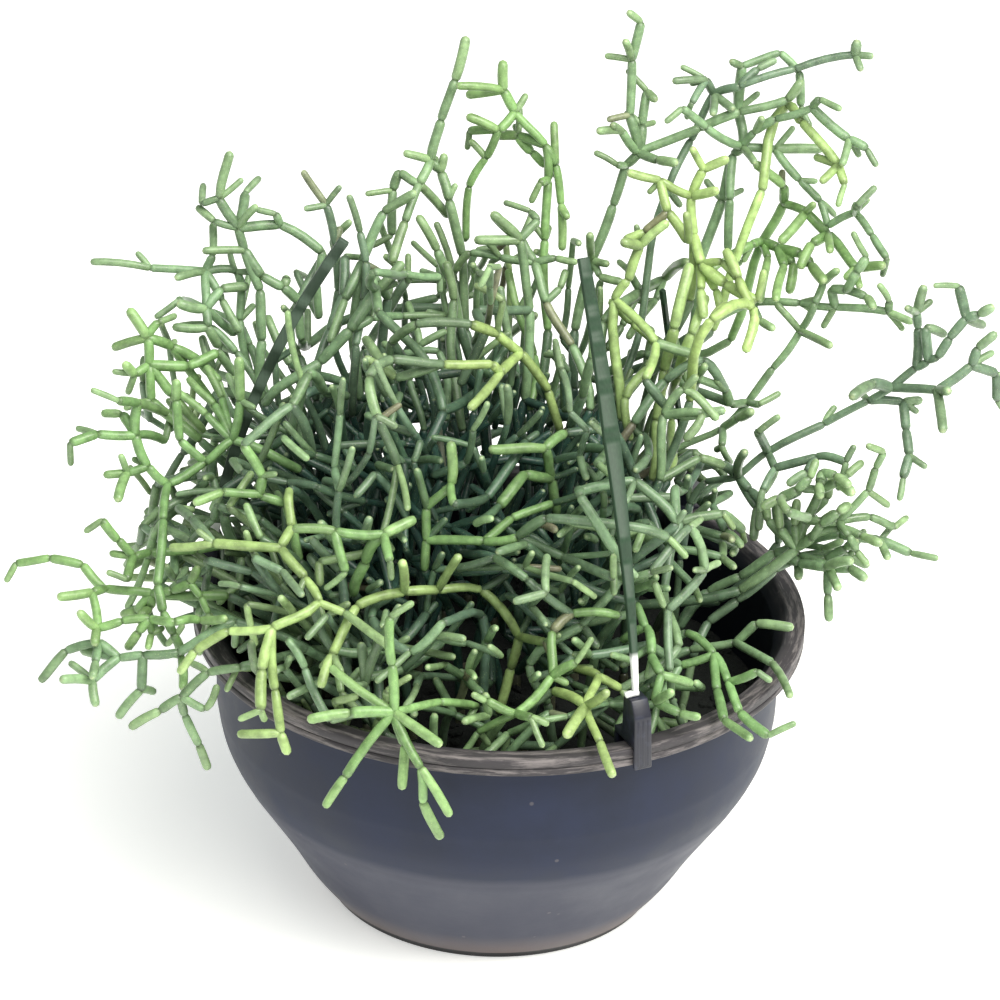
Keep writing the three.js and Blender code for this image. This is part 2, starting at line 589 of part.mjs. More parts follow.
// Root spots in a sunflower pattern, each taken once
const GOLDEN_TURN = Math.PI * (3 - Math.sqrt(5));
const spots = [];
for (let k = 0; k < SPOT_COUNT; k += 1) {
  const reach = SPOT_RADIUS * Math.sqrt((k + 0.5) / SPOT_COUNT);
  spots.push([reach * Math.cos(k * GOLDEN_TURN), reach * Math.sin(k * GOLDEN_TURN)]);
}

/** Takes the free root spot nearest to a place. */
function takeSpot(x, y) {
  const away = ([sx, sy]) => (sx - x) * (sx - x) + (sy - y) * (sy - y);
  let best = 0;
  for (let i = 1; i < spots.length; i += 1) {
    if (away(spots[i]) < away(spots[best])) best = i;
  }
  return spots.splice(best, 1)[0];
}

/** The joints of a stem that rises out of the soil and bends over to a place. */
function risingJoints(top, goal, sway) {
  const knee = top.clone().lerp(goal, KNEE_SHARE);
  knee.z = top.z + Math.max((goal.z - top.z) * KNEE_LIFT, KNEE_LEAST);
  knee.add(sway);
  const count = Math.max(2, Math.round(top.distanceTo(goal) / HIDDEN_JOINT));
  const curve = new THREE.QuadraticBezierCurve3(top, knee, goal);
  const joints = curve.getPoints(count).slice(1, -1);
  return [...joints, goal];
}

/** The least gap along a chain of joints. */
function chainGap(start, joints, radius, owner) {
  let least = Infinity;
  let from = start;
  for (const joint of joints) {
    least = Math.min(least, gapAround(from, joint, radius, owner));
    from = joint;
  }
  return least;
}

/** The depth offsets to try, nearest first. */
function depthOffsets() {
  const offsets = [0];
  for (let k = 1; k <= DEPTH_TRIES / 2; k += 1) offsets.push(k * DEPTH_STEP, -k * DEPTH_STEP);
  return offsets;
}

/** The sideways bends to try on a hidden stem. */
function sways() {
  const list = [new THREE.Vector3()];
  for (let k = 0; k < SWAY_COUNT; k += 1) {
    const turn = k * GOLDEN_TURN;
    const size = SWAY_FIRST + k * SWAY_STEP;
    list.push(new THREE.Vector3(size * Math.cos(turn), size * Math.sin(turn), 0));
  }
  return list;
}

/** Places one traced joint, moved in depth alone until its segment is clear. */
function placeJoint(from, px, py, depth, radius, owner) {
  let best = null;
  let bestGap = -Infinity;
  for (const offset of depthOffsets()) {
    const joint = seenAt(px, py, depth + offset);
    const gap = gapAround(from, joint, radius, owner);
    if (gap >= CLEAR) return joint;
    if (gap > bestGap) {
      best = joint;
      bestGap = gap;
    }
  }
  return best;
}

// Each traced spray's root spot, claimed from the middle of the pot outwards
const claims = TRACED.map(([name, , { pixels, fromDepth }]) => {
  const aim = seenAt(pixels[0], pixels[1], fromDepth).multiplyScalar(ROOT_PULL);
  return { name, x: aim.x, y: aim.y, reach: Math.sqrt(aim.x * aim.x + aim.y * aim.y) };
});
claims.sort((one, other) => one.reach - other.reach);
const rootSpots = new Map(claims.map(({ name, x, y }) => [`spray_${name}`, takeSpot(x, y)]));

/** Roots a spray in the soil and takes it up to its first traced joint. */
function rootStem(spray, goalAt, radius) {
  const [x, y] = rootSpots.get(spray.name);
  const ground = soilHeight(Math.sqrt(x * x + y * y));
  spray.root = new THREE.Vector3(x, y, ground);
  spray.rootRadius = radius;
  const low = new THREE.Vector3(x, y, ground - ROOT_DEPTH);
  const top = new THREE.Vector3(x, y, ground + NECK);
  let best = null;
  let bestGap = -Infinity;
  for (const offset of depthOffsets()) {
    const goal = goalAt(offset);
    for (const sway of sways()) {
      const joints = risingJoints(top, goal, sway);
      const gap = chainGap(top, joints, radius, spray.name);
      if (gap > bestGap) {
        best = joints;
        bestGap = gap;
      }
      if (gap >= CLEAR) return [low, top, ...joints];
    }
  }
  return [low, top, ...best];
}

// The traced segments as the front view shows them
const shown = [];

/** Builds one traced spray, joint by joint. */
function layTraced([name, tint, ...runs]) {
  const spray = { name: `spray_${name}`, tint, runs: [] };
  sprays.push(spray);
  const known = new Map();
  for (const { radius, fromDepth, toDepth, pixels } of runs) {
    const count = pixels.length / 2;
    const joints = [];
    const start = known.get(`${pixels[0]},${pixels[1]}`);
    if (start) {
      joints.push(start.joint);
    } else {
      const goalAt = (offset) => seenAt(pixels[0], pixels[1], fromDepth + offset);
      joints.push(...rootStem(spray, goalAt, radius));
    }
    const firstDepth = start ? start.depth : fromDepth;
    const drift = joints[joints.length - 1].clone().sub(VIEW_AIM).dot(sight) - firstDepth;
    known.set(`${pixels[0]},${pixels[1]}`, { joint: joints[joints.length - 1], depth: firstDepth });
    for (let i = 1; i < count; i += 1) {
      const px = pixels[2 * i];
      const py = pixels[2 * i + 1];
      const share = i / (count - 1);
      const depth = firstDepth + (toDepth - firstDepth) * share + drift * (1 - share);
      const from = joints[joints.length - 1];
      const joint = placeJoint(from, px, py, depth, radius, spray.name);
      shown.push([pixelOf(from), pixelOf(joint)]);
      joints.push(joint);
      known.set(`${px},${py}`, { joint, depth });
    }
    addRun(spray, radius, joints);
  }
}
for (const entry of TRACED) layTraced(entry);

/** Whether a place is inside the mound of stems, and clear of the bare inner wall at the right. */
function inMound(p) {
  const q = p.clone().sub(MOUND_CENTRE).divide(MOUND_RADII);
  const bareWall = p.x > BARE_WALL.x && p.y > BARE_WALL.y && p.z < BARE_WALL.z;
  return q.lengthSq() < 1 && !bareWall;
}

/** Whether a seen place lies in front of a traced segment and close to it. */
function isBefore(seen, [from, to]) {
  const dx = to.column - from.column;
  const dy = to.row - from.row;
  const share = ((seen.column - from.column) * dx + (seen.row - from.row) * dy) / (dx * dx + dy * dy);
  const t = Math.min(Math.max(share, 0), 1);
  const apart = Math.hypot(
    seen.column - (from.column + dx * t),
    seen.row - (from.row + dy * t),
  );
  const deep = from.deep + (to.deep - from.deep) * t;
  return apart < COVER_REACH && seen.deep < deep - COVER_DEPTH;
}

/** Whether a new segment would hide a traced one in the front view. */
function hidesTraced(a, b) {
  return COVER_SHARES.some((share) => {
    const seen = pixelOf(a.clone().lerp(b, share));
    return shown.some((segment) => isBefore(seen, segment));
  });
}

/** The next joint of a stem grown by rule, or null when nothing is clear. */
function nextJoint(from, heading, [shortest, longest], spread, radius, owner) {
  for (let i = 0; i < SHOOT_TRIES; i += 1) {
    const length = shortest + (longest - shortest) * random();
    const way = heading.clone().addScaledVector(randomDirection(), spread).normalize();
    const joint = from.clone().addScaledVector(way, length);
    const isClear = inMound(joint) && !hidesTraced(from, joint);
    if (isClear && gapAround(from, joint, radius, owner) >= CLEAR) return joint;
  }
  return null;
}

/** Roots a spray that is grown by rule: a long leader that leans outwards. */
function layFiller(name) {
  const spray = { name: `spray_${name}`, tint: "deep", runs: [] };
  const [x, y] = spots.shift();
  const ground = soilHeight(Math.sqrt(x * x + y * y));
  const low = new THREE.Vector3(x, y, ground - ROOT_DEPTH);
  const joints = [low, new THREE.Vector3(x, y, ground + NECK)];
  const lean = new THREE.Vector3(x / SPOT_RADIUS, y / SPOT_RADIUS, LEADER_RISE).normalize();
  for (let i = 0; i < LEADER_JOINTS; i += 1) {
    const from = joints[joints.length - 1];
    const joint = nextJoint(from, lean, LEADER_LENGTHS, LEADER_SPREAD, PENCIL, spray.name);
    if (!joint) break;
    joints.push(joint);
  }
  spray.root = new THREE.Vector3(x, y, ground);
  spray.rootRadius = PENCIL;
  sprays.push(spray);
  addRun(spray, PENCIL, joints);
}
for (const name of FILLER_NAMES) layFiller(name);

/** How many segments lie near a place. */
function crowdAt(place) {
  let count = 0;
  for (const { a, b } of clutter) {
    if (a.clone().add(b).multiplyScalar(0.5).distanceTo(place) < CROWD_REACH) count += 1;
  }
  return count;
}

/** The least crowded of a few random joints of a spray, with the joint before it. */
function shootStart(spray) {
  let best = null;
  for (let i = 0; i < START_TRIES; i += 1) {
    const run = spray.runs[Math.floor(random() * spray.runs.length)];
    const index = 1 + Math.floor(random() * (run.joints.length - 1));
    const start = run.joints[index];
    if (!inMound(start) || (run === spray.runs[0] && index < 2)) continue;
    const crowd = crowdAt(start);
    if (!best || crowd < best.crowd) best = { start, before: run.joints[index - 1], crowd };
  }
  return best;
}

/** Adds one zigzag side shoot to a spray, and tells how many segments it has. */
function growShoot(spray) {
  const found = shootStart(spray);
  if (!found) return 0;
  const { start, before } = found;
  const joints = [start];
  let heading = start.clone().sub(before).normalize();
  const [fewest, most] = SHOOT_JOINTS;
  const count = fewest + Math.floor(random() * (most - fewest + 1));
  for (let i = 0; i < count; i += 1) {
    const from = joints[joints.length - 1];
    const joint = nextJoint(from, heading, SHOOT_LENGTHS, SHOOT_SPREAD, PENCIL, spray.name);
    if (!joint) break;
    heading = joint.clone().sub(from).normalize();
    joints.push(joint);
  }
  if (joints.length > 1) addRun(spray, PENCIL, joints);
  return joints.length - 1;
}

let segmentCount = clutter.length;
for (let turn = 0; segmentCount < SEGMENT_BUDGET && turn < TURN_LIMIT; turn += 1) {
  segmentCount += growShoot(sprays[turn % sprays.length]);
}

/** A stem's run of straight joints, as a path whose rings sit at the joints. */
class JointPath extends THREE.Curve {
  constructor(joints) {
    super();
    this.joints = joints;
  }

  getSpacedPoints() {
    return this.joints;
  }

  getTangentAt(share, target = new THREE.Vector3()) {
    const last = this.joints.length - 1;
    const i = Math.round(share * last);
    const into = this.joints[Math.max(i, 1)].clone().sub(this.joints[Math.max(i, 1) - 1]);
    const next = Math.min(i + 1, last);
    const out = this.joints[next].clone().sub(this.joints[next - 1]);
    return target.copy(into.normalize().add(out.normalize())).normalize();
  }
}

/** A closed solid from a three.js geometry. */
function toSolid(geometry) {
  const bare = geometry.index ? geometry.toNonIndexed() : geometry.clone();
  bare.deleteAttribute("normal");
  bare.deleteAttribute("uv");
  const merged = mergeVertices(bare, 1e-4);
  return new wasm.Manifold(new wasm.Mesh({
    numProp: 3,
    vertProperties: new Float32Array(merged.attributes.position.array),
    triVerts: new Uint32Array(merged.index.array),
  }));
}

/** A named mesh from a closed solid. */
function toMesh(name, solid, color, roughness) {
  const { vertProperties, triVerts } = solid.getMesh();
  const geometry = new THREE.BufferGeometry();
  geometry.setAttribute("position", new THREE.BufferAttribute(vertProperties, 3));
  geometry.setIndex(new THREE.BufferAttribute(triVerts, 1));
  geometry.computeVertexNormals();
  const material = new THREE.MeshStandardMaterial({ color, roughness, metalness: 0 });
  const mesh = new THREE.Mesh(geometry, material);
  mesh.name = name;
  return mesh;
}

/** A flat regular outline. */
function regularShape(sides, radius) {
  const points = [];
  for (let i = 0; i < sides; i += 1) {
    const turn = ((i + 0.5) / sides) * Math.PI * 2;
    points.push(new THREE.Vector2(radius * Math.cos(turn), radius * Math.sin(turn)));
  }
  return new THREE.Shape(points);
}

/** One run of stem joints as a closed tube. */
function tubeSolid({ radius, joints }) {
  const geometry = new THREE.ExtrudeGeometry(regularShape(STEM_SIDES, radius * CORNER), {
    steps: joints.length - 1,
    extrudePath: new JointPath(joints),
  });
  return toSolid(geometry);
}

/** A whole spray: its runs fused where they fork. */
function sprayMesh(spray) {
  let solid = tubeSolid(spray.runs[0]);
  for (const run of spray.runs.slice(1)) solid = solid.add(tubeSolid(run));
  return toMesh(spray.name, solid, TINTS[spray.tint], STEM_ROUGHNESS);
}

/** The turned solid of an outline in distance and height. */
function turned(outline) {
  const points = outline.map(([reach, z]) => new THREE.Vector2(reach, z));
  const geometry = new THREE.LatheGeometry(points, POT_FACETS);
  geometry.rotateX(Math.PI / 2);
  return toSolid(geometry);
}

/** The bowl-shaped pot with its flat rim and drain holes. */
function potMesh() {
  const [topRadius] = BOWL[BOWL.length - 1];
  const outline = [
    [0, 0],
    [FOOT_RADIUS, 0],
    ...BOWL,
    [topRadius, POT_HEIGHT - RIM_BAND],
    [RIM_RADIUS, POT_HEIGHT - RIM_BAND],
    [RIM_RADIUS, POT_HEIGHT],
    [RIM_RADIUS - RIM_LIP, POT_HEIGHT],
    [INNER_RADIUS, POT_HEIGHT - RIM_BAND],
    ...INNER_BOWL.slice().reverse(),
    [FOOT_RADIUS, FLOOR],
    [0, FLOOR],
  ];
  let solid = turned(outline);
  for (let i = 0; i < DRAIN_COUNT; i += 1) {
    const hole = new THREE.CylinderGeometry(DRAIN_RADIUS, DRAIN_RADIUS, FLOOR * 3, DRAIN_FACETS);
    hole.rotateX(Math.PI / 2);
    const place = atBearing(((i + 0.5) / DRAIN_COUNT) * 360, DRAIN_CIRCLE, 0);
    hole.translate(place.x, place.y, 0);
    solid = solid.subtract(toSolid(hole));
  }
  return toMesh("pot", solid, POT_COLOR, POT_ROUGHNESS);
}

/** The soil that fills the pot, with a plain hole for each root. */
function soilMesh() {
  const side = INNER_BOWL.slice(0, -1).map(([reach, z]) => [reach - SOIL_GAP, z]);
  const outline = [
    [0, FLOOR + SOIL_GAP],
    [FOOT_RADIUS - SOIL_GAP, FLOOR + SOIL_GAP],
    ...side,
    [SOIL_RADIUS, SOIL_EDGE],
    [0, SOIL_CROWN],
  ];
  let solid = turned(outline);
  for (const { root, rootRadius } of sprays) {
    const wide = (rootRadius * CORNER + HOLE_GAP) / Math.cos(Math.PI / HOLE_SIDES);
    const tall = ROOT_DEPTH * 2;
    const hole = new THREE.CylinderGeometry(wide, wide, tall, HOLE_SIDES);
    hole.rotateX(Math.PI / 2);
    hole.translate(root.x, root.y, root.z - ROOT_DEPTH - ROOT_CLEAR + tall / 2);
    solid = solid.subtract(toSolid(hole));
  }
  return toMesh("soil", solid, SOIL_COLOR, SOIL_ROUGHNESS);
}

/** An outline in distance and height, extruded across its bearing and centred on it. */
function radialPlate(outline, bearing, width) {
  const shape = new THREE.Shape(outline.map(([reach, z]) => new THREE.Vector2(reach, z)));
  const geometry = new THREE.ExtrudeGeometry(shape, { depth: width, bevelEnabled: false });
  geometry.translate(0, 0, -width / 2);
  geometry.rotateX(Math.PI / 2);
  geometry.rotateZ(THREE.MathUtils.degToRad(bearing - 90));
  return geometry;
}

/** A clip that hooks over the rim, with a tower whose leaning front runs down to its outer leg. */
function clipMesh({ name, bearing }) {
  const inner = INNER_RADIUS - CLIP_WALL_GAP;
  const outer = RIM_RADIUS + CLIP_RIM_GAP;
  const over = POT_HEIGHT + CLIP_SEAT_GAP;
  const low = POT_HEIGHT - CLIP_DROP;
  const face = outer + CLIP_LEG;
  const front = face - CLIP_LEAN;
  const outline = [
    [inner - CLIP_LEG, low],
    [inner, low],
    [inner, over],
    [outer, over],
    [outer, low],
    [face, low],
    [front, CLIP_FRONT],
    [front - CLIP_SLOPE, CLIP_TOP],
    [face - CLIP_TOWER, CLIP_TOP],
    [face - CLIP_TOWER, over + CLIP_LEG],
    [inner - CLIP_LEG, over + CLIP_LEG],
  ];
  const solid = toSolid(radialPlate(outline, bearing, CLIP_WIDTH));
  return toMesh(`clip_${name}`, solid, CLIP_COLOR, PLASTIC_ROUGHNESS);
}

/** A strap's width at a height: narrow at its foot, broadest partway up, narrower at its end. */
function strapWidth({ width, tip, end }, z) {
  const broad = STRAP_START + STRAP_FLARE;
  if (z < broad) return STRAP_FOOT + ((width - STRAP_FOOT) * (z - STRAP_START)) / STRAP_FLARE;
  return width + ((tip - width) * (z - broad)) / (end[1] - broad);
}

/** A strap that stands on its clip and bends in over the plant. */
function strapMesh(hanger) {
  const line = strapLine(hanger);
  const half = hanger.thick / 2;
  const sides = line.map((p, i) => {
    const before = line[Math.max(i - 1, 0)];
    const after = line[Math.min(i + 1, line.length - 1)];
    const run = after.clone().sub(before).normalize();
    const slope = i === 0 ? new THREE.Vector2(1, 0) : new THREE.Vector2(run.y, -run.x);
    return [p.clone().addScaledVector(slope, half), p.clone().addScaledVector(slope, -half)];
  });
  const outline = [
    ...sides.map(([out]) => [out.x, out.y]),
    ...sides.map(([, inside]) => [inside.x, inside.y]).reverse(),
  ];
  const geometry = radialPlate(outline, 90, hanger.width);
  const place = geometry.attributes.position;
  for (let i = 0; i < place.count; i += 1) {
    place.setY(i, (place.getY(i) * strapWidth(hanger, place.getZ(i))) / hanger.width);
  }
  geometry.rotateZ(THREE.MathUtils.degToRad(hanger.bearing - 90));
  return toMesh(`strap_${hanger.name}`, toSolid(geometry), STRAP_COLOR, PLASTIC_ROUGHNESS);
}

const group = new THREE.Group();
group.add(potMesh(), soilMesh());
for (const hanger of HANGERS) group.add(clipMesh(hanger), strapMesh(hanger));
for (const spray of sprays) group.add(sprayMesh(spray));

export default group;
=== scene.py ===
"""A potted rhipsalis in a round hanging pot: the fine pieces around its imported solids.

The stems are laid out by the same rule as the solids, from the same named values, and
then get their rounded joints, more side shoots and their skins. Lengths in the layout are
millimetres, and every mesh is made in metres.
"""
from __future__ import annotations

import logging
import math
from collections.abc import Callable
from dataclasses import dataclass, field
from enum import Enum

import bmesh
import bpy
import numpy as np
from bmesh.types import BMEdge, BMesh, BMFace, BMVert
from bpy.types import Material, Mesh, Node, NodeSocket, NodeTree, Object
from mathutils import Matrix, Vector, noise


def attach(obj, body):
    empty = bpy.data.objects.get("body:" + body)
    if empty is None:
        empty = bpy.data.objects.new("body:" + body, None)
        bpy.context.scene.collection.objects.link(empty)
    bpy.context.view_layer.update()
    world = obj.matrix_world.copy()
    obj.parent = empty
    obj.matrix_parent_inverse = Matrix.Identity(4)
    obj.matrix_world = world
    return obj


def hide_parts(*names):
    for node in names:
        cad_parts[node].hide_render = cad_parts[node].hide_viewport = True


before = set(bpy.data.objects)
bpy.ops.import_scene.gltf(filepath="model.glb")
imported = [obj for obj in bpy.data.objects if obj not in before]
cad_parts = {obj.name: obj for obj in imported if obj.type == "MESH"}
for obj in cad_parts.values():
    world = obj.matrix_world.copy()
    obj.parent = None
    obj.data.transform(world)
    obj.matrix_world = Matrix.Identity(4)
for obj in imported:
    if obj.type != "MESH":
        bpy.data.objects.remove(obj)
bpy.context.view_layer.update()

LOG = logging.getLogger("rhipsalis")
BODY = "root"
MM = 0.001
Point = np.ndarray
Pair = tuple[float, float]
Line = list[Pair]
Color = tuple[float, float, float, float]

# Stem radii, in millimetres
THIN = 1.3
PENCIL = 1.55
STOUT = 1.75
# How a new stem keeps its distance
CLEAR = 0.9
OWN_CLEAR = 0.35
GAP_SAMPLE = 3.0
BOX_MARGIN = 0.5
# How a traced stem rises out of the soil
ROOT_DEPTH = 9.0
NECK = 6.0
HIDDEN_JOINT = 40.0
KNEE_SHARE = 0.25
KNEE_LIFT = 0.85
KNEE_LEAST = 14.0
SWAY_COUNT = 16
SWAY_FIRST = 8.0
SWAY_STEP = 1.5
DEPTH_STEP = 3.0
DEPTH_TRIES = 26
GOLDEN_TURN = math.pi * (3 - math.sqrt(5))
# Root spots and the stems that are grown by rule
SPOT_COUNT = 52
SPOT_RADIUS = 66.0
ROOT_PULL = 0.6
FILLER_NAMES = [f"filler_{letter}" for letter in "abcdefghij"]
MOUND_CENTRE = np.array([-14.0, 8.0, 124.0])
MOUND_RADII = np.array([106.0, 92.0, 86.0])
BARE_WALL = np.array([40.0, -45.0, 125.0])
LEADER_LENGTHS = (22.0, 34.0)
LEADER_JOINTS = 3
LEADER_RISE = 1.2
LEADER_SPREAD = 0.7
SHOOT_LENGTHS = (13.0, 25.0)
SHOOT_TRIES = 10
SHOOT_JOINTS = (2, 4)
SHOOT_SPREAD = 1.1
START_TRIES = 4
CROWD_REACH = 22.0
SEGMENT_BUDGET = 960
TURN_LIMIT = 20000
SEED = 20261127
# How near in the front view, and how far in front, a stem grown by rule hides a traced one
COVER_SHARES = (0.3, 0.5, 0.75, 1.0)
COVER_REACH = 9.0
COVER_DEPTH = 1.5
# What most of a noise texture's values lie between
NOISE_RANGE = (0.3, 0.7)
# The pot's zones: its inside, its rim and its body outside, and where one turns to the next
INSIDE_ZONE = 0.0
RIM_ZONE = 0.5
BODY_ZONE = 1.0
ON_RIM = (0.1, 0.4)
ON_BODY = (0.6, 0.9)
FULL_TURN = 360
QUARTER_TURN = 90
# Where red, green and blue stand in a hex colour, and the most that each can be
CHANNEL_SHIFTS = (16, 8, 0)
CHANNEL_TOP = 0xFF
# The sRGB curve
SRGB_KNEE = 0.04045
SRGB_SLOPE = 12.92
SRGB_OFFSET = 0.055
SRGB_POWER = 2.4
# The seeded stream: its word, its step, its shifts and its spread
WORD = 0xFFFFFFFF
STREAM_STEP = 0x6D2B79F5
STREAM_SHIFTS = (15, 7, 14)
STREAM_SPREAD = 61
LEAST_LENGTH = 0.1
# Two lines are parallel, or two vertices are one, below these
PARALLEL = 1e-9
WELD = 1e-6
# The fine branches that thicken the heap
BRANCH_START_TRIES = 5
BRANCH_CROWD_REACH = 13.0
BRANCH_TRIES = 9
TWIG_SPREAD = 1.3
SIBLING_COSINE = 0.8
OUTER_WAYS = 3


class Tint(Enum):
    """The four stem colours, from the youngest growth to the shaded stems inside."""

    YELLOW = "yellow"
    LIGHT = "light"
    MID = "mid"
    DEEP = "deep"

    @property
    def slot(self) -> str:
        """The record's material slot for stems of this tint."""
        return f"stem_{self.value}"


@dataclass(frozen=True)
class TracedRun:
    """One run of joints as seen in the front view.

    A run with a first depth rises out of the soil, and the others start at an earlier
    joint with the same pixel.
    """

    radius: float
    to_depth: float
    pixels: tuple[float, ...]
    from_depth: float | None = None


def main_stem(radius: float, from_depth: float, to_depth: float, *pixels: float) -> TracedRun:
    """A main stem out of the soil: radius, first and last depth, then its joints' pixels."""
    return TracedRun(radius, to_depth, pixels, from_depth)


def twig(radius: float, to_depth: float, *pixels: float) -> TracedRun:
    """A twig off an earlier joint: radius, the depth of its tip, then its joints' pixels."""
    return TracedRun(radius, to_depth, pixels)


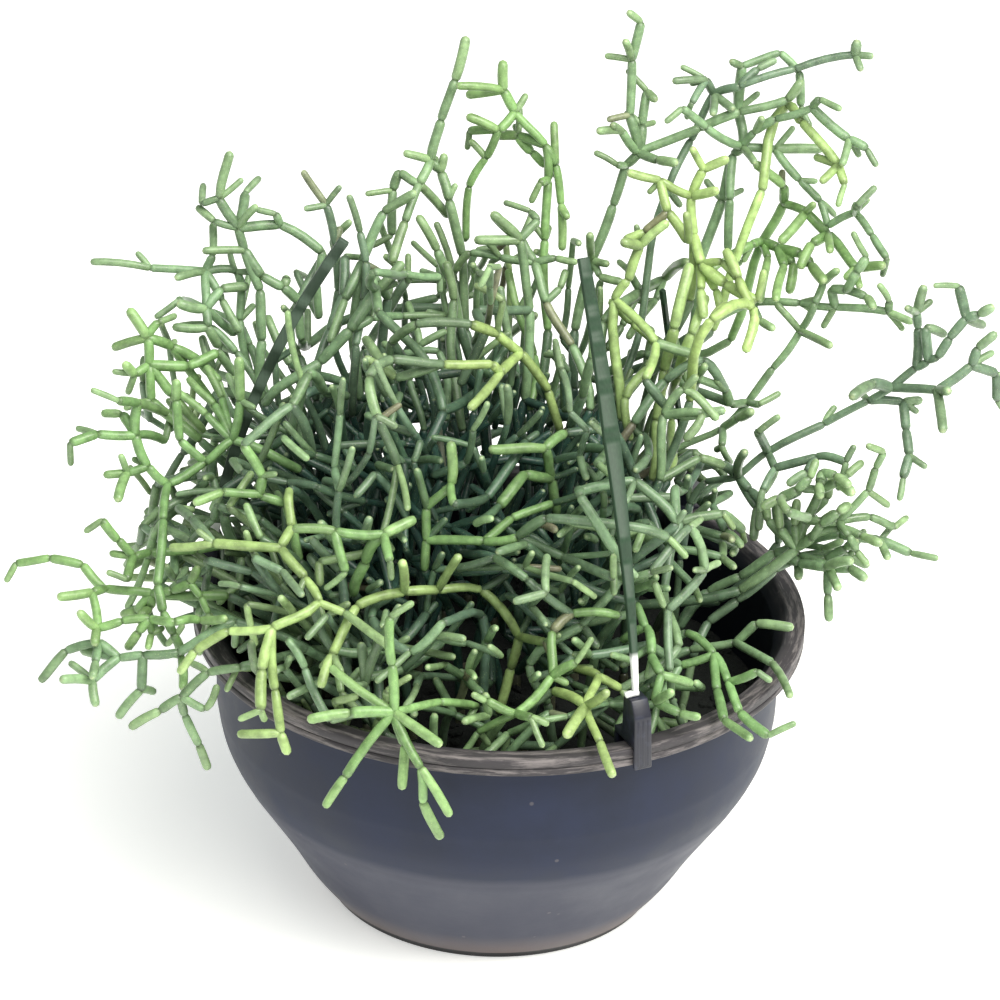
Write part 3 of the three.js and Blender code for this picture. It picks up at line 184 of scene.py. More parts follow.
# Each traced spray: its name, its tint, and its runs of joints
TRACED: list[tuple[str, Tint, list[TracedRun]]] = [
    ("reach_right", Tint.DEEP, [
        main_stem(THIN, 30, -5, 690, 503, 706, 482, 738, 476, 768, 452, 824, 424, 868, 401, 891, 388,
         916, 368, 928, 361, 938, 357),
        twig(PENCIL, -12, 738, 476, 745, 452),
        twig(PENCIL, 15, 738, 476, 757, 508, 754, 540),
        twig(PENCIL, -2, 768, 452, 758, 432),
        twig(PENCIL, 5, 768, 452, 775, 469, 762, 492),
        twig(STOUT, -20, 891, 388, 872, 384, 852, 397),
        twig(PENCIL, 10, 868, 401, 903, 402, 922, 400),
        twig(STOUT, 0, 903, 402, 906, 430, 909, 455, 903, 478),
        twig(PENCIL, -15, 891, 388, 937, 390, 949, 391),
        twig(PENCIL, -22, 937, 390, 943, 431),
        twig(PENCIL, -10, 937, 390, 971, 365, 978, 348, 996, 333),
        twig(PENCIL, 5, 971, 365, 996, 374, 997, 400),
        twig(PENCIL, -10, 916, 368, 918, 328, 917, 312, 924, 286),
        twig(THIN, -18, 917, 312, 907, 308),
        twig(PENCIL, 0, 928, 361, 926, 328, 945, 334),
        twig(PENCIL, -12, 938, 357, 950, 338, 966, 318, 959, 286),
        twig(PENCIL, -16, 966, 318, 979, 314, 993, 306),
        twig(PENCIL, 0, 966, 318, 984, 325)]),
    ("upper_right", Tint.MID, [
        main_stem(THIN, 25, 8, 700, 330, 752, 303, 800, 303, 835, 307, 888, 312, 913, 322),
        twig(THIN, 8, 888, 312, 889, 301),
        twig(PENCIL, 0, 835, 307, 832, 289, 866, 297, 874, 308)]),
    ("rise_right", Tint.MID, [
        main_stem(THIN, 30, 8, 676, 450, 722, 428, 748, 402, 773, 368, 800, 331, 815, 303, 824, 283,
                  838, 270),
        twig(THIN, 18, 800, 331, 776, 304),
        twig(THIN, 0, 800, 331, 831, 346),
        twig(PENCIL, 8, 748, 402, 731, 404, 726, 390, 716, 379),
        twig(THIN, -4, 726, 390, 697, 378, 705, 365),
        twig(PENCIL, 12, 722, 428, 738, 418, 752, 411)]),
    ("right_arch", Tint.DEEP, [
        main_stem(PENCIL, 30, -10, 720, 600, 778, 543, 777, 503, 800, 490, 817, 457, 846, 462),
        twig(PENCIL, 4, 817, 457, 775, 468)]),
    ("right_cluster", Tint.MID, [
        main_stem(STOUT, 8, -15, 740, 590, 797, 548, 806, 520, 820, 490, 822, 472),
        twig(STOUT, -20, 820, 490, 838, 482, 853, 493),
        twig(THIN, -10, 838, 482, 847, 476, 863, 462),
        twig(THIN, -15, 806, 520, 838, 521, 868, 491, 876, 468, 884, 452),
        twig(THIN, -5, 868, 491, 889, 506),
        twig(PENCIL, 0, 838, 521, 870, 517, 894, 528)]),
    ("right_spread", Tint.MID, [
        main_stem(STOUT, 20, -10, 709, 592, 740, 576, 775, 553, 800, 556, 828, 566, 850, 569, 866, 579),
        twig(PENCIL, 0, 828, 566, 828, 595, 829, 621),
        twig(PENCIL, -14, 828, 566, 838, 588),
        twig(PENCIL, 10, 800, 556, 850, 556, 869, 565),
        twig(STOUT, 0, 775, 553, 800, 545, 840, 535, 880, 540, 911, 553),
        twig(PENCIL, -8, 880, 540, 888, 558)]),
    ("right_under", Tint.DEEP, [
        main_stem(PENCIL, 15, -5, 709, 622, 737, 600, 775, 570, 795, 563, 799, 579)]),
    ("right_rim", Tint.MID, [
        main_stem(PENCIL, 5, -8, 690, 650, 735, 642, 757, 624, 793, 627),
        twig(PENCIL, -45, 735, 642, 772, 663, 790, 696)]),
    ("right_front", Tint.LIGHT, [
        main_stem(PENCIL, -25, -52, 686, 633, 714, 654, 728, 682, 740, 712, 768, 736),
        twig(PENCIL, -30, 714, 654, 680, 665),
        twig(PENCIL, -62, 714, 654, 717, 690, 724, 720, 751, 739),
        twig(PENCIL, -45, 728, 682, 757, 671)]),
    ("front_right", Tint.LIGHT, [
        main_stem(PENCIL, -35, -62, 622, 640, 646, 628, 652, 655, 661, 675, 655, 702),
        twig(PENCIL, -50, 661, 675, 692, 684),
        twig(PENCIL, -66, 655, 702, 672, 692),
        twig(PENCIL, -60, 655, 702, 680, 713, 700, 717),
        twig(PENCIL, -38, 646, 628, 636, 603)]),
    ("front_tip", Tint.YELLOW, [
        main_stem(PENCIL, -40, -78, 575, 668, 598, 676, 586, 706, 600, 742, 613, 776),
        twig(STOUT, -72, 586, 706, 566, 736),
        twig(PENCIL, -72, 586, 706, 607, 692),
        twig(PENCIL, -45, 598, 676, 621, 689),
        twig(PENCIL, -45, 586, 706, 553, 691)]),
    ("front_centre", Tint.LIGHT, [
        main_stem(PENCIL, -50, -66, 618, 616, 572, 614, 553, 632, 552, 676, 516, 713, 486, 701),
        twig(PENCIL, -72, 516, 713, 531, 717),
        twig(PENCIL, -66, 552, 676, 576, 663),
        twig(THIN, -60, 552, 676, 568, 684),
        twig(THIN, -55, 516, 713, 478, 732)]),
    ("front_arch", Tint.YELLOW, [
        main_stem(PENCIL, -20, -64, 498, 712, 511, 668, 518, 636, 481, 590, 438, 590, 404, 592, 357, 607,
         332, 655, 321, 687),
        twig(PENCIL, -50, 518, 636, 545, 642),
        twig(PENCIL, -66, 404, 592, 402, 562),
        twig(PENCIL, -56, 438, 590, 459, 556)]),
    ("front_star", Tint.LIGHT, [
        main_stem(THIN, -45, -78, 476, 706, 440, 702, 394, 712),
        twig(PENCIL, -84, 394, 712, 392, 665, 390, 617),
        twig(STOUT, -82, 394, 712, 350, 713, 308, 720),
        twig(PENCIL, -70, 394, 712, 331, 667),
        twig(PENCIL, -74, 394, 712, 345, 777, 325, 807),
        twig(PENCIL, -75, 394, 712, 405, 745, 402, 789),
        twig(PENCIL, -78, 394, 712, 421, 768, 450, 816),
        twig(PENCIL, -66, 421, 768, 423, 802, 441, 838),
        twig(PENCIL, -86, 394, 712, 441, 745)]),
    ("front_left", Tint.YELLOW, [
        main_stem(PENCIL, -40, -62, 290, 490, 291, 527, 282, 548, 305, 578, 318, 602, 272, 628),
        twig(PENCIL, -40, 282, 548, 213, 543, 170, 547),
        twig(STOUT, -66, 272, 628, 262, 670, 261, 710),
        twig(PENCIL, -60, 272, 628, 275, 690, 281, 733, 288, 754),
        twig(PENCIL, -58, 281, 733, 238, 734),
        twig(PENCIL, -55, 272, 628, 228, 631, 195, 651, 179, 673),
        twig(THIN, -55, 318, 602, 345, 613)]),
    ("mid_left", Tint.LIGHT, [
        main_stem(STOUT, -40, -60, 354, 594, 366, 562, 384, 534),
        twig(PENCIL, -60, 384, 534, 335, 531, 293, 529),
        twig(PENCIL, -60, 335, 531, 346, 572),
        twig(STOUT, -55, 384, 534, 415, 519),
        twig(PENCIL, -68, 384, 534, 390, 561)]),
    ("mid_vert", Tint.LIGHT, [
        main_stem(PENCIL, -35, -50, 425, 570, 426, 540, 427, 508, 451, 484, 451, 442),
        twig(THIN, -58, 451, 484, 454, 504),
        twig(PENCIL, -50, 426, 540, 484, 541, 518, 537),
        twig(PENCIL, -30, 484, 541, 512, 518, 553, 503)]),
    ("mid_bend", Tint.LIGHT, [
        main_stem(PENCIL, -15, -40, 558, 515, 552, 478, 545, 449, 490, 449),
        twig(PENCIL, -25, 545, 449, 566, 433),
        twig(STOUT, -40, 552, 478, 525, 474, 499, 506)]),
    ("upper_mid_bright", Tint.YELLOW, [
        main_stem(PENCIL, 0, -30, 560, 430, 548, 390, 521, 353, 497, 334, 471, 324),
        twig(PENCIL, -42, 521, 353, 501, 372, 470, 408),
        twig(PENCIL, -36, 501, 372, 492, 364, 443, 364)]),
    ("left_mid", Tint.LIGHT, [
        main_stem(PENCIL, -35, -45, 300, 560, 285, 505, 262, 494, 262, 476, 243, 445),
        twig(PENCIL, -50, 262, 494, 222, 492, 194, 503)]),
    ("left_fan", Tint.LIGHT, [
        main_stem(PENCIL, -5, -25, 300, 470, 232, 440, 205, 462, 168, 483, 148, 466, 136, 435, 138, 403),
        twig(PENCIL, -35, 168, 483, 163, 520, 157, 585),
        twig(PENCIL, -30, 136, 435, 97, 434, 70, 443),
        twig(PENCIL, -20, 136, 435, 121, 414, 102, 413),
        twig(PENCIL, -38, 138, 403, 119, 401),
        twig(PENCIL, -20, 148, 466, 127, 473, 104, 475),
        twig(PENCIL, -32, 127, 473, 118, 500),
        twig(PENCIL, -5, 138, 403, 166, 413),
        twig(PENCIL, 0, 136, 435, 165, 441)]),
    ("left_low", Tint.LIGHT, [
        main_stem(PENCIL, -10, -28, 235, 545, 196, 550, 150, 553, 134, 556, 118, 540, 102, 520),
        twig(THIN, -20, 134, 556, 110, 553),
        twig(PENCIL, -30, 134, 556, 127, 580)]),
    ("left_arc", Tint.LIGHT, [
        main_stem(PENCIL, -25, -18, 228, 596, 152, 593, 105, 588, 82, 565, 50, 558, 16, 563),
        twig(PENCIL, -36, 105, 588, 92, 592, 58, 597),
        twig(PENCIL, -42, 92, 592, 97, 628, 79, 612),
        twig(PENCIL, -15, 152, 593, 136, 611, 122, 614)]),
    ("left_drop", Tint.MID, [
        main_stem(PENCIL, -38, -30, 235, 622, 178, 652, 143, 655, 119, 657, 97, 643, 66, 651, 40, 681),
        twig(PENCIL, -40, 119, 657, 93, 681, 96, 706),
        twig(PENCIL, -48, 93, 681, 61, 680),
        twig(PENCIL, -30, 143, 655, 141, 690, 118, 718),
        twig(THIN, -22, 141, 690, 154, 692)]),
    ("left_hang", Tint.MID, [
        main_stem(PENCIL, -46, -40, 240, 667, 208, 673, 181, 697, 160, 711, 130, 728),
        twig(PENCIL, -28, 181, 697, 185, 715, 199, 745, 208, 769),
        twig(THIN, -46, 181, 697, 205, 709, 217, 685)]),
    ("star_left", Tint.MID, [
        main_stem(PENCIL, 18, 0, 262, 400, 262, 340, 260, 290, 245, 250, 238, 228, 220, 198, 230, 152),
        twig(THIN, 4, 220, 198, 202, 204),
        twig(THIN, 5, 238, 228, 214, 221, 197, 207),
        twig(PENCIL, 15, 238, 228, 245, 193),
        twig(THIN, 0, 238, 228, 257, 206),
        twig(PENCIL, 12, 238, 228, 280, 225, 322, 252),
        twig(THIN, 5, 280, 225, 276, 214),
        twig(THIN, 4, 245, 250, 203, 251),
        twig(PENCIL, 15, 245, 250, 262, 276, 283, 287, 288, 277),
        twig(PENCIL, 22, 283, 287, 298, 302, 302, 340)]),
    ("long_left", Tint.MID, [
        main_stem(THIN, 22, 8, 250, 370, 240, 320, 236, 272, 205, 271, 150, 268, 91, 262),
        twig(THIN, 4, 205, 271, 176, 278),
        twig(PENCIL, 2, 205, 271, 206, 308, 178, 303),
        twig(THIN, 12, 205, 271, 213, 255, 213, 223),
        twig(PENCIL, 6, 206, 308, 207, 327, 173, 327),
        twig(PENCIL, 20, 206, 308, 235, 334),
        twig(PENCIL, 14, 207, 327, 218, 346)]),
    ("arc_upper_left", Tint.DEEP, [
        main_stem(THIN, 32, 20, 332, 340, 338, 290, 335, 245, 326, 205, 303, 171),
        twig(THIN, 26, 335, 245, 340, 227)]),
    ("far_left_star", Tint.LIGHT, [
        main_stem(PENCIL, 0, -5, 200, 440, 152, 400, 149, 365, 147, 338, 129, 309),
        twig(THIN, -4, 147, 338, 159, 322),
        twig(PENCIL, 2, 147, 338, 113, 348),
        twig(PENCIL, 10, 147, 338, 172, 347, 186, 366),
        twig(PENCIL, -10, 149, 365, 135, 374, 124, 363),
        twig(STOUT, 6, 149, 365, 188, 366, 218, 352),
        twig(PENCIL, 22, 186, 366, 230, 428)]),
    ("upper_mid", Tint.LIGHT, [
        main_stem(PENCIL, 30, 18, 548, 330, 545, 240, 548, 180, 545, 145, 515, 112, 504, 90, 503, 61),
        twig(THIN, 12, 504, 90, 457, 86),
        twig(PENCIL, 26, 504, 90, 467, 95),
        twig(PENCIL, 16, 515, 112, 498, 130, 467, 117),
        twig(PENCIL, 26, 498, 130, 469, 131),
        twig(STOUT, 32, 545, 145, 518, 136, 497, 136),
        twig(THIN, 34, 498, 130, 486, 158, 469, 187, 466, 240),
        twig(THIN, 30, 545, 145, 556, 165, 561, 205, 562, 250),
        twig(THIN, 20, 556, 165, 554, 122)]),
    ("tall_left_mid", Tint.MID, [
        main_stem(PENCIL, 35, 14, 466, 330, 462, 255, 449, 200, 440, 172, 431, 160, 441, 120, 455, 80,
                  466, 37),
        twig(THIN, 18, 431, 160, 404, 153),
        twig(THIN, 24, 440, 172, 444, 154),
        twig(PENCIL, 12, 431, 160, 419, 184, 405, 222, 392, 262),
        twig(PENCIL, 26, 419, 184, 400, 172, 393, 190, 392, 235),
        twig(PENCIL, 30, 419, 184, 448, 216)]),
    ("upper_left_mid", Tint.MID, [
        main_stem(PENCIL, 25, 14, 360, 400, 352, 330, 362, 262, 384, 212, 415, 192),
        twig(PENCIL, 10, 362, 262, 345, 300, 330, 342)]),
    ("top_right", Tint.MID, [
        main_stem(PENCIL, 30, 6, 575, 330, 592, 260, 613, 205, 626, 166, 638, 152, 630, 115, 632, 60,
                  641, 22),
        twig(THIN, 2, 641, 22, 628, 12),
        twig(THIN, 2, 632, 60, 625, 41),
        twig(PENCIL, 16, 638, 152, 642, 125, 647, 91),
        twig(THIN, 12, 647, 91, 656, 100),
        twig(PENCIL, 0, 638, 152, 622, 131, 598, 131),
        twig(THIN, 2, 622, 131, 612, 125),
        twig(PENCIL, 10, 638, 152, 700, 128, 740, 112, 787, 99, 802, 81),
        twig(PENCIL, 4, 638, 152, 658, 160, 677, 163),
        twig(THIN, 14, 626, 166, 617, 165)]),
    ("crown", Tint.MID, [
        main_stem(PENCIL, 32, 14, 690, 340, 700, 262, 722, 200, 733, 155, 742, 147, 738, 110, 742, 66),
        twig(THIN, 10, 742, 66, 731, 61),
        twig(THIN, 18, 742, 66, 780, 53, 799, 72, 801, 106),
        twig(THIN, 2, 742, 147, 755, 132, 776, 119, 812, 107, 820, 99),
        twig(PENCIL, 4, 812, 107, 849, 139, 867, 149),
        twig(THIN, 0, 849, 139, 842, 165),
        twig(PENCIL, 24, 742, 147, 775, 149, 822, 149),
        twig(THIN, 2, 742, 147, 706, 127, 682, 108),
        twig(THIN, 18, 775, 149, 800, 180, 820, 201, 828, 226),
        twig(THIN, 4, 828, 226, 855, 213, 872, 235, 887, 258),
        twig(PENCIL, 2, 855, 213, 857, 206)]),
    ("cascade", Tint.LIGHT, [
        main_stem(PENCIL, 34, 18, 730, 340, 762, 242, 783, 203, 783, 186, 755, 163),
        twig(PENCIL, 2, 783, 203, 806, 212, 828, 234, 856, 268, 884, 266),
        twig(THIN, 0, 856, 268, 860, 287),
        twig(PENCIL, 16, 806, 212, 780, 242),
        twig(THIN, 18, 806, 212, 814, 204),
        twig(PENCIL, 14, 828, 234, 812, 244, 800, 268)]),
    ("falling_right", Tint.YELLOW, [
        main_stem(PENCIL, 26, 2, 712, 330, 735, 262, 762, 190, 787, 105, 802, 122, 838, 165, 845, 184),
        twig(THIN, 0, 838, 165, 821, 182),
        twig(THIN, 12, 838, 165, 815, 157)]),
    ("yellow_tangle", Tint.YELLOW, [
        main_stem(PENCIL, 14, 4, 690, 300, 694, 235, 692, 196, 704, 170, 728, 158),
        twig(THIN, 0, 704, 170, 692, 148),
        twig(PENCIL, 0, 692, 196, 660, 180, 628, 172),
        twig(PENCIL, 2, 692, 196, 718, 190)]),
    ("top_far_right", Tint.DEEP, [
        main_stem(THIN, 22, 8, 640, 330, 655, 225, 668, 188, 691, 140, 714, 94, 740, 86, 795, 69, 855, 55,
         873, 56),
        twig(PENCIL, 6, 855, 55, 857, 41),
        twig(THIN, 6, 855, 55, 861, 70),
        twig(THIN, 4, 714, 94, 706, 80, 673, 81),
        twig(THIN, 2, 706, 80, 692, 103),
        twig(THIN, 6, 714, 94, 713, 114),
        twig(THIN, 14, 714, 94, 733, 109)]),
    ("mid_stub", Tint.MID, [
        main_stem(PENCIL, 20, 2, 525, 400, 530, 310, 520, 240, 492, 213),
        twig(PENCIL, 5, 520, 240, 475, 240),
        twig(THIN, 12, 520, 240, 538, 220, 530, 211)]),
    ("pale_mid", Tint.YELLOW, [
        main_stem(PENCIL, 10, 0, 622, 420, 615, 300, 628, 280, 641, 246, 668, 222),
        twig(PENCIL, -10, 615, 300, 656, 343, 645, 380),
        twig(PENCIL, -4, 641, 246, 622, 242)]),
    ("pale_right", Tint.YELLOW, [
        main_stem(PENCIL, 2, -12, 690, 400, 712, 320, 752, 308, 746, 352),
        twig(PENCIL, 0, 752, 308, 738, 278, 725, 250),
        twig(PENCIL, -10, 712, 320, 725, 306)]),
    ("right_mid", Tint.MID, [
        main_stem(PENCIL, -10, -15, 660, 480, 664, 415, 684, 390, 718, 419),
        twig(THIN, -16, 684, 390, 697, 376),
        twig(PENCIL, -20, 664, 415, 702, 414, 685, 440),
        twig(PENCIL, 0, 660, 480, 700, 458, 724, 466)]),
]

# Stems that the front view shows and the solids leave out, by the spray that they grow on
DETAILS: dict[str, list[TracedRun]] = {
    "top_right": [
        twig(THIN, 20, 592, 260, 608, 264),
        twig(THIN, 14, 592, 260, 590, 234),
        twig(THIN, 20, 592, 260, 600, 276, 622, 282)],
    "upper_mid": [
        twig(THIN, 18, 548, 180, 540, 183),
        twig(PENCIL, 32, 518, 136, 532, 152, 545, 166),
        twig(THIN, 24, 561, 205, 568, 218),
        main_stem(THIN, 20, 30, 530, 410, 534, 355, 518, 312, 508, 270)],
    "mid_stub": [
        main_stem(PENCIL, 14, 26, 590, 410, 572, 345, 546, 302, 534, 262, 512, 233, 493, 213),
        twig(THIN, 24, 534, 262, 522, 238, 532, 213),
        twig(THIN, 26, 534, 262, 500, 257, 470, 253, 455, 271),
        twig(THIN, 18, 534, 262, 556, 258, 577, 262),
        twig(THIN, 22, 546, 302, 560, 288, 566, 270)],
    "tall_left_mid": [
        main_stem(PENCIL, 28, 18, 460, 325, 450, 280, 437, 250, 418, 216),
        main_stem(PENCIL, 16, 28, 462, 430, 452, 362, 454, 300, 446, 262)],
    "upper_left_mid": [
        main_stem(STOUT, 8, 22, 265, 405, 320, 362, 350, 330, 378, 290, 402, 262),
        twig(THIN, 24, 350, 330, 372, 318, 402, 316, 446, 316),
        twig(THIN, 26, 378, 290, 374, 272, 405, 274, 440, 277),
        main_stem(THIN, 12, 20, 424, 430, 410, 380, 420, 345, 408, 302),
        twig(THIN, 20, 420, 345, 446, 331),
        main_stem(THIN, 10, 14, 446, 420, 438, 352, 402, 353, 382, 343)],
    "arc_upper_left": [
        main_stem(PENCIL, 14, 22, 316, 400, 330, 330, 343, 295, 345, 256),
        main_stem(THIN, 18, 26, 352, 415, 356, 345, 364, 300, 366, 262, 360, 232)],
    "star_left": [
        twig(THIN, 24, 322, 252, 317, 285, 319, 318)],
    "long_left": [
        twig(THIN, 14, 205, 271, 222, 300, 240, 332),
        twig(PENCIL, 18, 206, 308, 222, 289, 248, 286),
        main_stem(THIN, 20, 6, 268, 402, 250, 345, 210, 311, 179, 300),
        main_stem(THIN, 20, 10, 268, 404, 236, 352, 210, 327, 176, 327)],
    "far_left_star": [
        twig(PENCIL, 4, 149, 365, 172, 395, 204, 432),
        twig(PENCIL, 8, 172, 347, 200, 362, 220, 382)],
    "left_fan": [
        twig(PENCIL, -38, 157, 585, 163, 612, 173, 634, 181, 656, 183, 689),
        twig(PENCIL, -20, 205, 462, 180, 440, 176, 400, 176, 380),
        twig(PENCIL, -26, 232, 440, 240, 400, 239, 358),
        twig(THIN, -8, 232, 440, 206, 414, 174, 390),
        twig(THIN, -2, 232, 440, 214, 404, 188, 378),
        twig(THIN, 2, 232, 440, 222, 398, 206, 366)],
    "rise_right": [
        twig(THIN, 6, 722, 428, 722, 446, 731, 463),
        twig(THIN, 4, 748, 402, 759, 404)],
    "right_arch": [
        twig(PENCIL, 4, 777, 503, 786, 520, 790, 540, 786, 560),
        twig(PENCIL, 0, 777, 503, 795, 515, 802, 538),
        twig(THIN, 0, 775, 468, 763, 490, 760, 511),
        twig(PENCIL, -4, 817, 457, 806, 472, 788, 485)],
    "right_cluster": [
        twig(PENCIL, -6, 797, 548, 780, 528, 777, 501),
        twig(PENCIL, -8, 797, 548, 795, 524, 797, 500),
        twig(PENCIL, -4, 797, 548, 801, 531, 813, 513, 827, 498, 829, 479),
        twig(PENCIL, -12, 820, 490, 800, 489, 779, 498, 762, 508),
        twig(PENCIL, -14, 797, 548, 816, 534, 838, 528, 862, 536, 881, 544),
        twig(THIN, -10, 838, 521, 849, 536, 857, 551, 868, 565),
        twig(PENCIL, -18, 822, 472, 836, 476, 850, 486),
        twig(PENCIL, -2, 806, 520, 822, 520, 836, 512),
        twig(STOUT, -20, 822, 472, 820, 484, 821, 498),
        twig(PENCIL, -10, 806, 520, 788, 512, 782, 498),
        twig(PENCIL, -4, 797, 548, 812, 538, 822, 524, 838, 512, 850, 504),
        twig(PENCIL, 4, 797, 548, 784, 538, 768, 520, 764, 500),
        twig(PENCIL, -8, 779, 498, 797, 490, 810, 478, 817, 460)],
    "reach_right": [
        twig(PENCIL, 6, 738, 476, 722, 464, 702, 461),
        twig(PENCIL, 12, 738, 476, 750, 490, 761, 503, 759, 530)],
    "left_arc": [
        twig(PENCIL, -38, 97, 628, 122, 621, 150, 619, 175, 622, 200, 620, 226, 618),
        twig(PENCIL, -40, 97, 628, 95, 645),
        twig(THIN, -36, 150, 619, 151, 634, 148, 649),
        twig(PENCIL, -34, 150, 619, 138, 632, 127, 648),
        twig(PENCIL, -20, 152, 593, 150, 608, 140, 616),
        twig(PENCIL, -34, 152, 593, 172, 590, 190, 582, 198, 567),
        twig(THIN, -30, 190, 582, 201, 597, 209, 614)],
    "left_drop": [
        twig(PENCIL, -30, 119, 657, 100, 655, 82, 650),
        twig(PENCIL, -36, 97, 643, 95, 662, 92, 678)],
    "right_spread": [
        twig(PENCIL, -2, 800, 556, 826, 558, 845, 548, 857, 540),
        twig(STOUT, 6, 775, 553, 800, 563, 826, 567, 852, 561),
        twig(PENCIL, 2, 828, 566, 846, 566, 862, 577),
        twig(THIN, -4, 800, 545, 824, 548, 842, 541)],
    "cascade": [
        twig(PENCIL, 12, 762, 242, 752, 245, 732, 256),
        twig(STOUT, 8, 762, 242, 778, 248, 800, 254, 811, 265, 824, 281),
        twig(PENCIL, 14, 778, 248, 784, 266, 776, 300),
        twig(THIN, 18, 762, 242, 768, 258, 760, 302),
        twig(PENCIL, 8, 778, 248, 793, 264, 789, 293),
        twig(THIN, 2, 856, 268, 845, 279),
        twig(THIN, 4, 828, 234, 830, 251)],
    "pale_mid": [
        main_stem(PENCIL, 6, 12, 630, 440, 626, 398, 648, 368, 655, 345, 632, 322, 610, 300),
        main_stem(STOUT, 12, 8, 652, 480, 656, 420, 664, 370, 674, 328, 690, 264),
        main_stem(PENCIL, 8, 2, 668, 480, 672, 420, 678, 376, 692, 334, 706, 296)],
    "right_mid": [
        main_stem(STOUT, 12, 10, 604, 400, 604, 322, 640, 292, 664, 279, 688, 262),
        twig(THIN, 10, 640, 292, 628, 270, 640, 245),
        twig(THIN, 14, 640, 292, 622, 326, 606, 350),
        twig(THIN, 8, 664, 279, 656, 300, 641, 318, 628, 338),
        twig(PENCIL, 6, 604, 322, 618, 306, 636, 318, 652, 332)],
    "yellow_tangle": [
        twig(STOUT, -2, 694, 235, 702, 264, 726, 284, 757, 301),
        twig(PENCIL, -4, 660, 180, 668, 212, 688, 242),
        twig(PENCIL, 0, 668, 212, 644, 232, 624, 240),
        twig(THIN, -6, 688, 242, 686, 213),
        twig(THIN, -4, 757, 301, 764, 270),
        twig(PENCIL, 2, 694, 235, 699, 262, 701, 290, 704, 318),
        twig(THIN, -8, 702, 264, 722, 262, 741, 281),
        twig(THIN, 6, 699, 262, 716, 290, 722, 316)],
    "crown": [
        twig(PENCIL, 26, 733, 155, 730, 200, 728, 250),
        twig(THIN, 6, 755, 132, 762, 118),
        twig(THIN, 10, 742, 147, 755, 163)],
    "top_far_right": [
        twig(THIN, 12, 740, 86, 758, 69, 776, 60)],
    "upper_right": [
        twig(PENCIL, -2, 832, 289, 846, 290, 857, 272, 867, 257),
        twig(THIN, 12, 752, 303, 760, 320, 774, 329)],
}

# Where the front view looks through the plant: pixels, with a radius
CLEARINGS: tuple[tuple[float, float, float], ...] = (
    (284, 248, 26), (262, 262, 10), (222, 308, 9), (278, 326, 13), (329, 286, 10), (388, 334, 15),
    (372, 340, 11), (434, 328, 10), (331, 372, 13), (348, 370, 7), (296, 386, 10), (190, 346, 14),
    (166, 386, 9), (202, 446, 10), (164, 456, 14), (455, 376, 8), (328, 430, 9), (313, 432, 7),
    (482, 441, 9), (487, 342, 9), (480, 212, 20), (655, 258, 20), (538, 332, 8), (620, 328, 10),
    (612, 368, 12), (636, 402, 14), (640, 345, 8), (426, 225, 10), (735, 340, 22), (710, 352, 18),
    (178, 610, 10), (193, 636, 9), (160, 678, 17), (202, 690, 14), (112, 606, 12), (125, 640, 10),
    (200, 735, 26), (214, 655, 14), (700, 405, 9), (762, 300, 8), (760, 468, 10), (795, 478, 10),
    (830, 508, 11), (742, 512, 16), (216, 772, 14), (590, 215, 18), (510, 180, 20), (320, 130, 30))


def unit(vector: Point) -> Point:
    """The vector with length 1."""
    return vector / math.sqrt(float(vector @ vector))


@dataclass(frozen=True)
class PhotoView:
    """The front view that the stems were laid out in, and the camera that sees it.

    Pixels are places in a 1000 by 1000 frame, and lengths are millimetres.
    """

    distance: float = 1537.2
    elevation: float = math.radians(32.21)
    roll: float = math.radians(2.06)
    aim: tuple[float, float, float] = (-1.07, 0.0, 139.76)
    focal: float = 4539.3
    frame_size: int = 1000
    sensor: float = 36.0
    clip_metres: Pair = (0.05, 50.0)

    @property
    def eye(self) -> Point:
        """The place of the camera."""
        return np.array([0.0, -self.distance * math.cos(self.elevation),
                         self.distance * math.sin(self.elevation)])

    def axes(self) -> tuple[Point, Point, Point]:
        """The view's directions.

        Returns:
            The directions to the right of the picture, up it, and into it.
        """
        sight = unit(np.array(self.aim) - self.eye)
        level = unit(np.cross(sight, np.array([0.0, 0.0, 1.0])))
        upright = np.cross(level, sight)
        across = level * math.cos(self.roll) + upright * math.sin(self.roll)
        along = upright * math.cos(self.roll) - level * math.sin(self.roll)
        return across, along, sight

    def seen_at(self, px: float, py: float, depth: float) -> Point:
        """The point seen at a pixel.

        Args:
            px: The pixel's column.
            py: The pixel's row.
            depth: How far beyond the plane through the aim point it lies.

        Returns:
            The point in the pot's frame.
        """
        across, along, sight = self.axes()
        centre = self.frame_size / 2
        ray = sight + across * ((px - centre) / self.focal) + along * ((centre - py) / self.focal)
        reach = depth - float((self.eye - np.array(self.aim)) @ sight)
        return self.eye + ray * reach

    def pixels_of(self, places: Point) -> Point:
        """The columns, the rows and the distances into the picture of some places.

        Args:
            places: The places, in millimetres.

        Returns:
            A column, a row and a distance for each.
        """
        across, along, sight = self.axes()
        rays = places - self.eye
        deep = rays @ sight
        centre = self.frame_size / 2
        return np.stack([centre + self.focal * (rays @ across) / deep,
                         centre - self.focal * (rays @ along) / deep, deep], axis=-1)

    def make_camera(self) -> Object:
        """Adds the camera that sees the photograph's view.

        Returns:
            The camera, set as the scene's own.
        """
        across, along, sight = self.axes()
        data = bpy.data.cameras.new("camera")
        data.sensor_width = self.sensor
        data.lens = self.focal / self.frame_size * self.sensor
        data.clip_start, data.clip_end = self.clip_metres
        camera = bpy.data.objects.new("camera", data)
        turn = Matrix((across, along, -sight)).transposed().to_4x4()
        camera.matrix_world = Matrix.Translation(Vector(self.eye * MM)) @ turn
        bpy.context.scene.collection.objects.link(camera)
        bpy.context.scene.camera = camera
        return camera


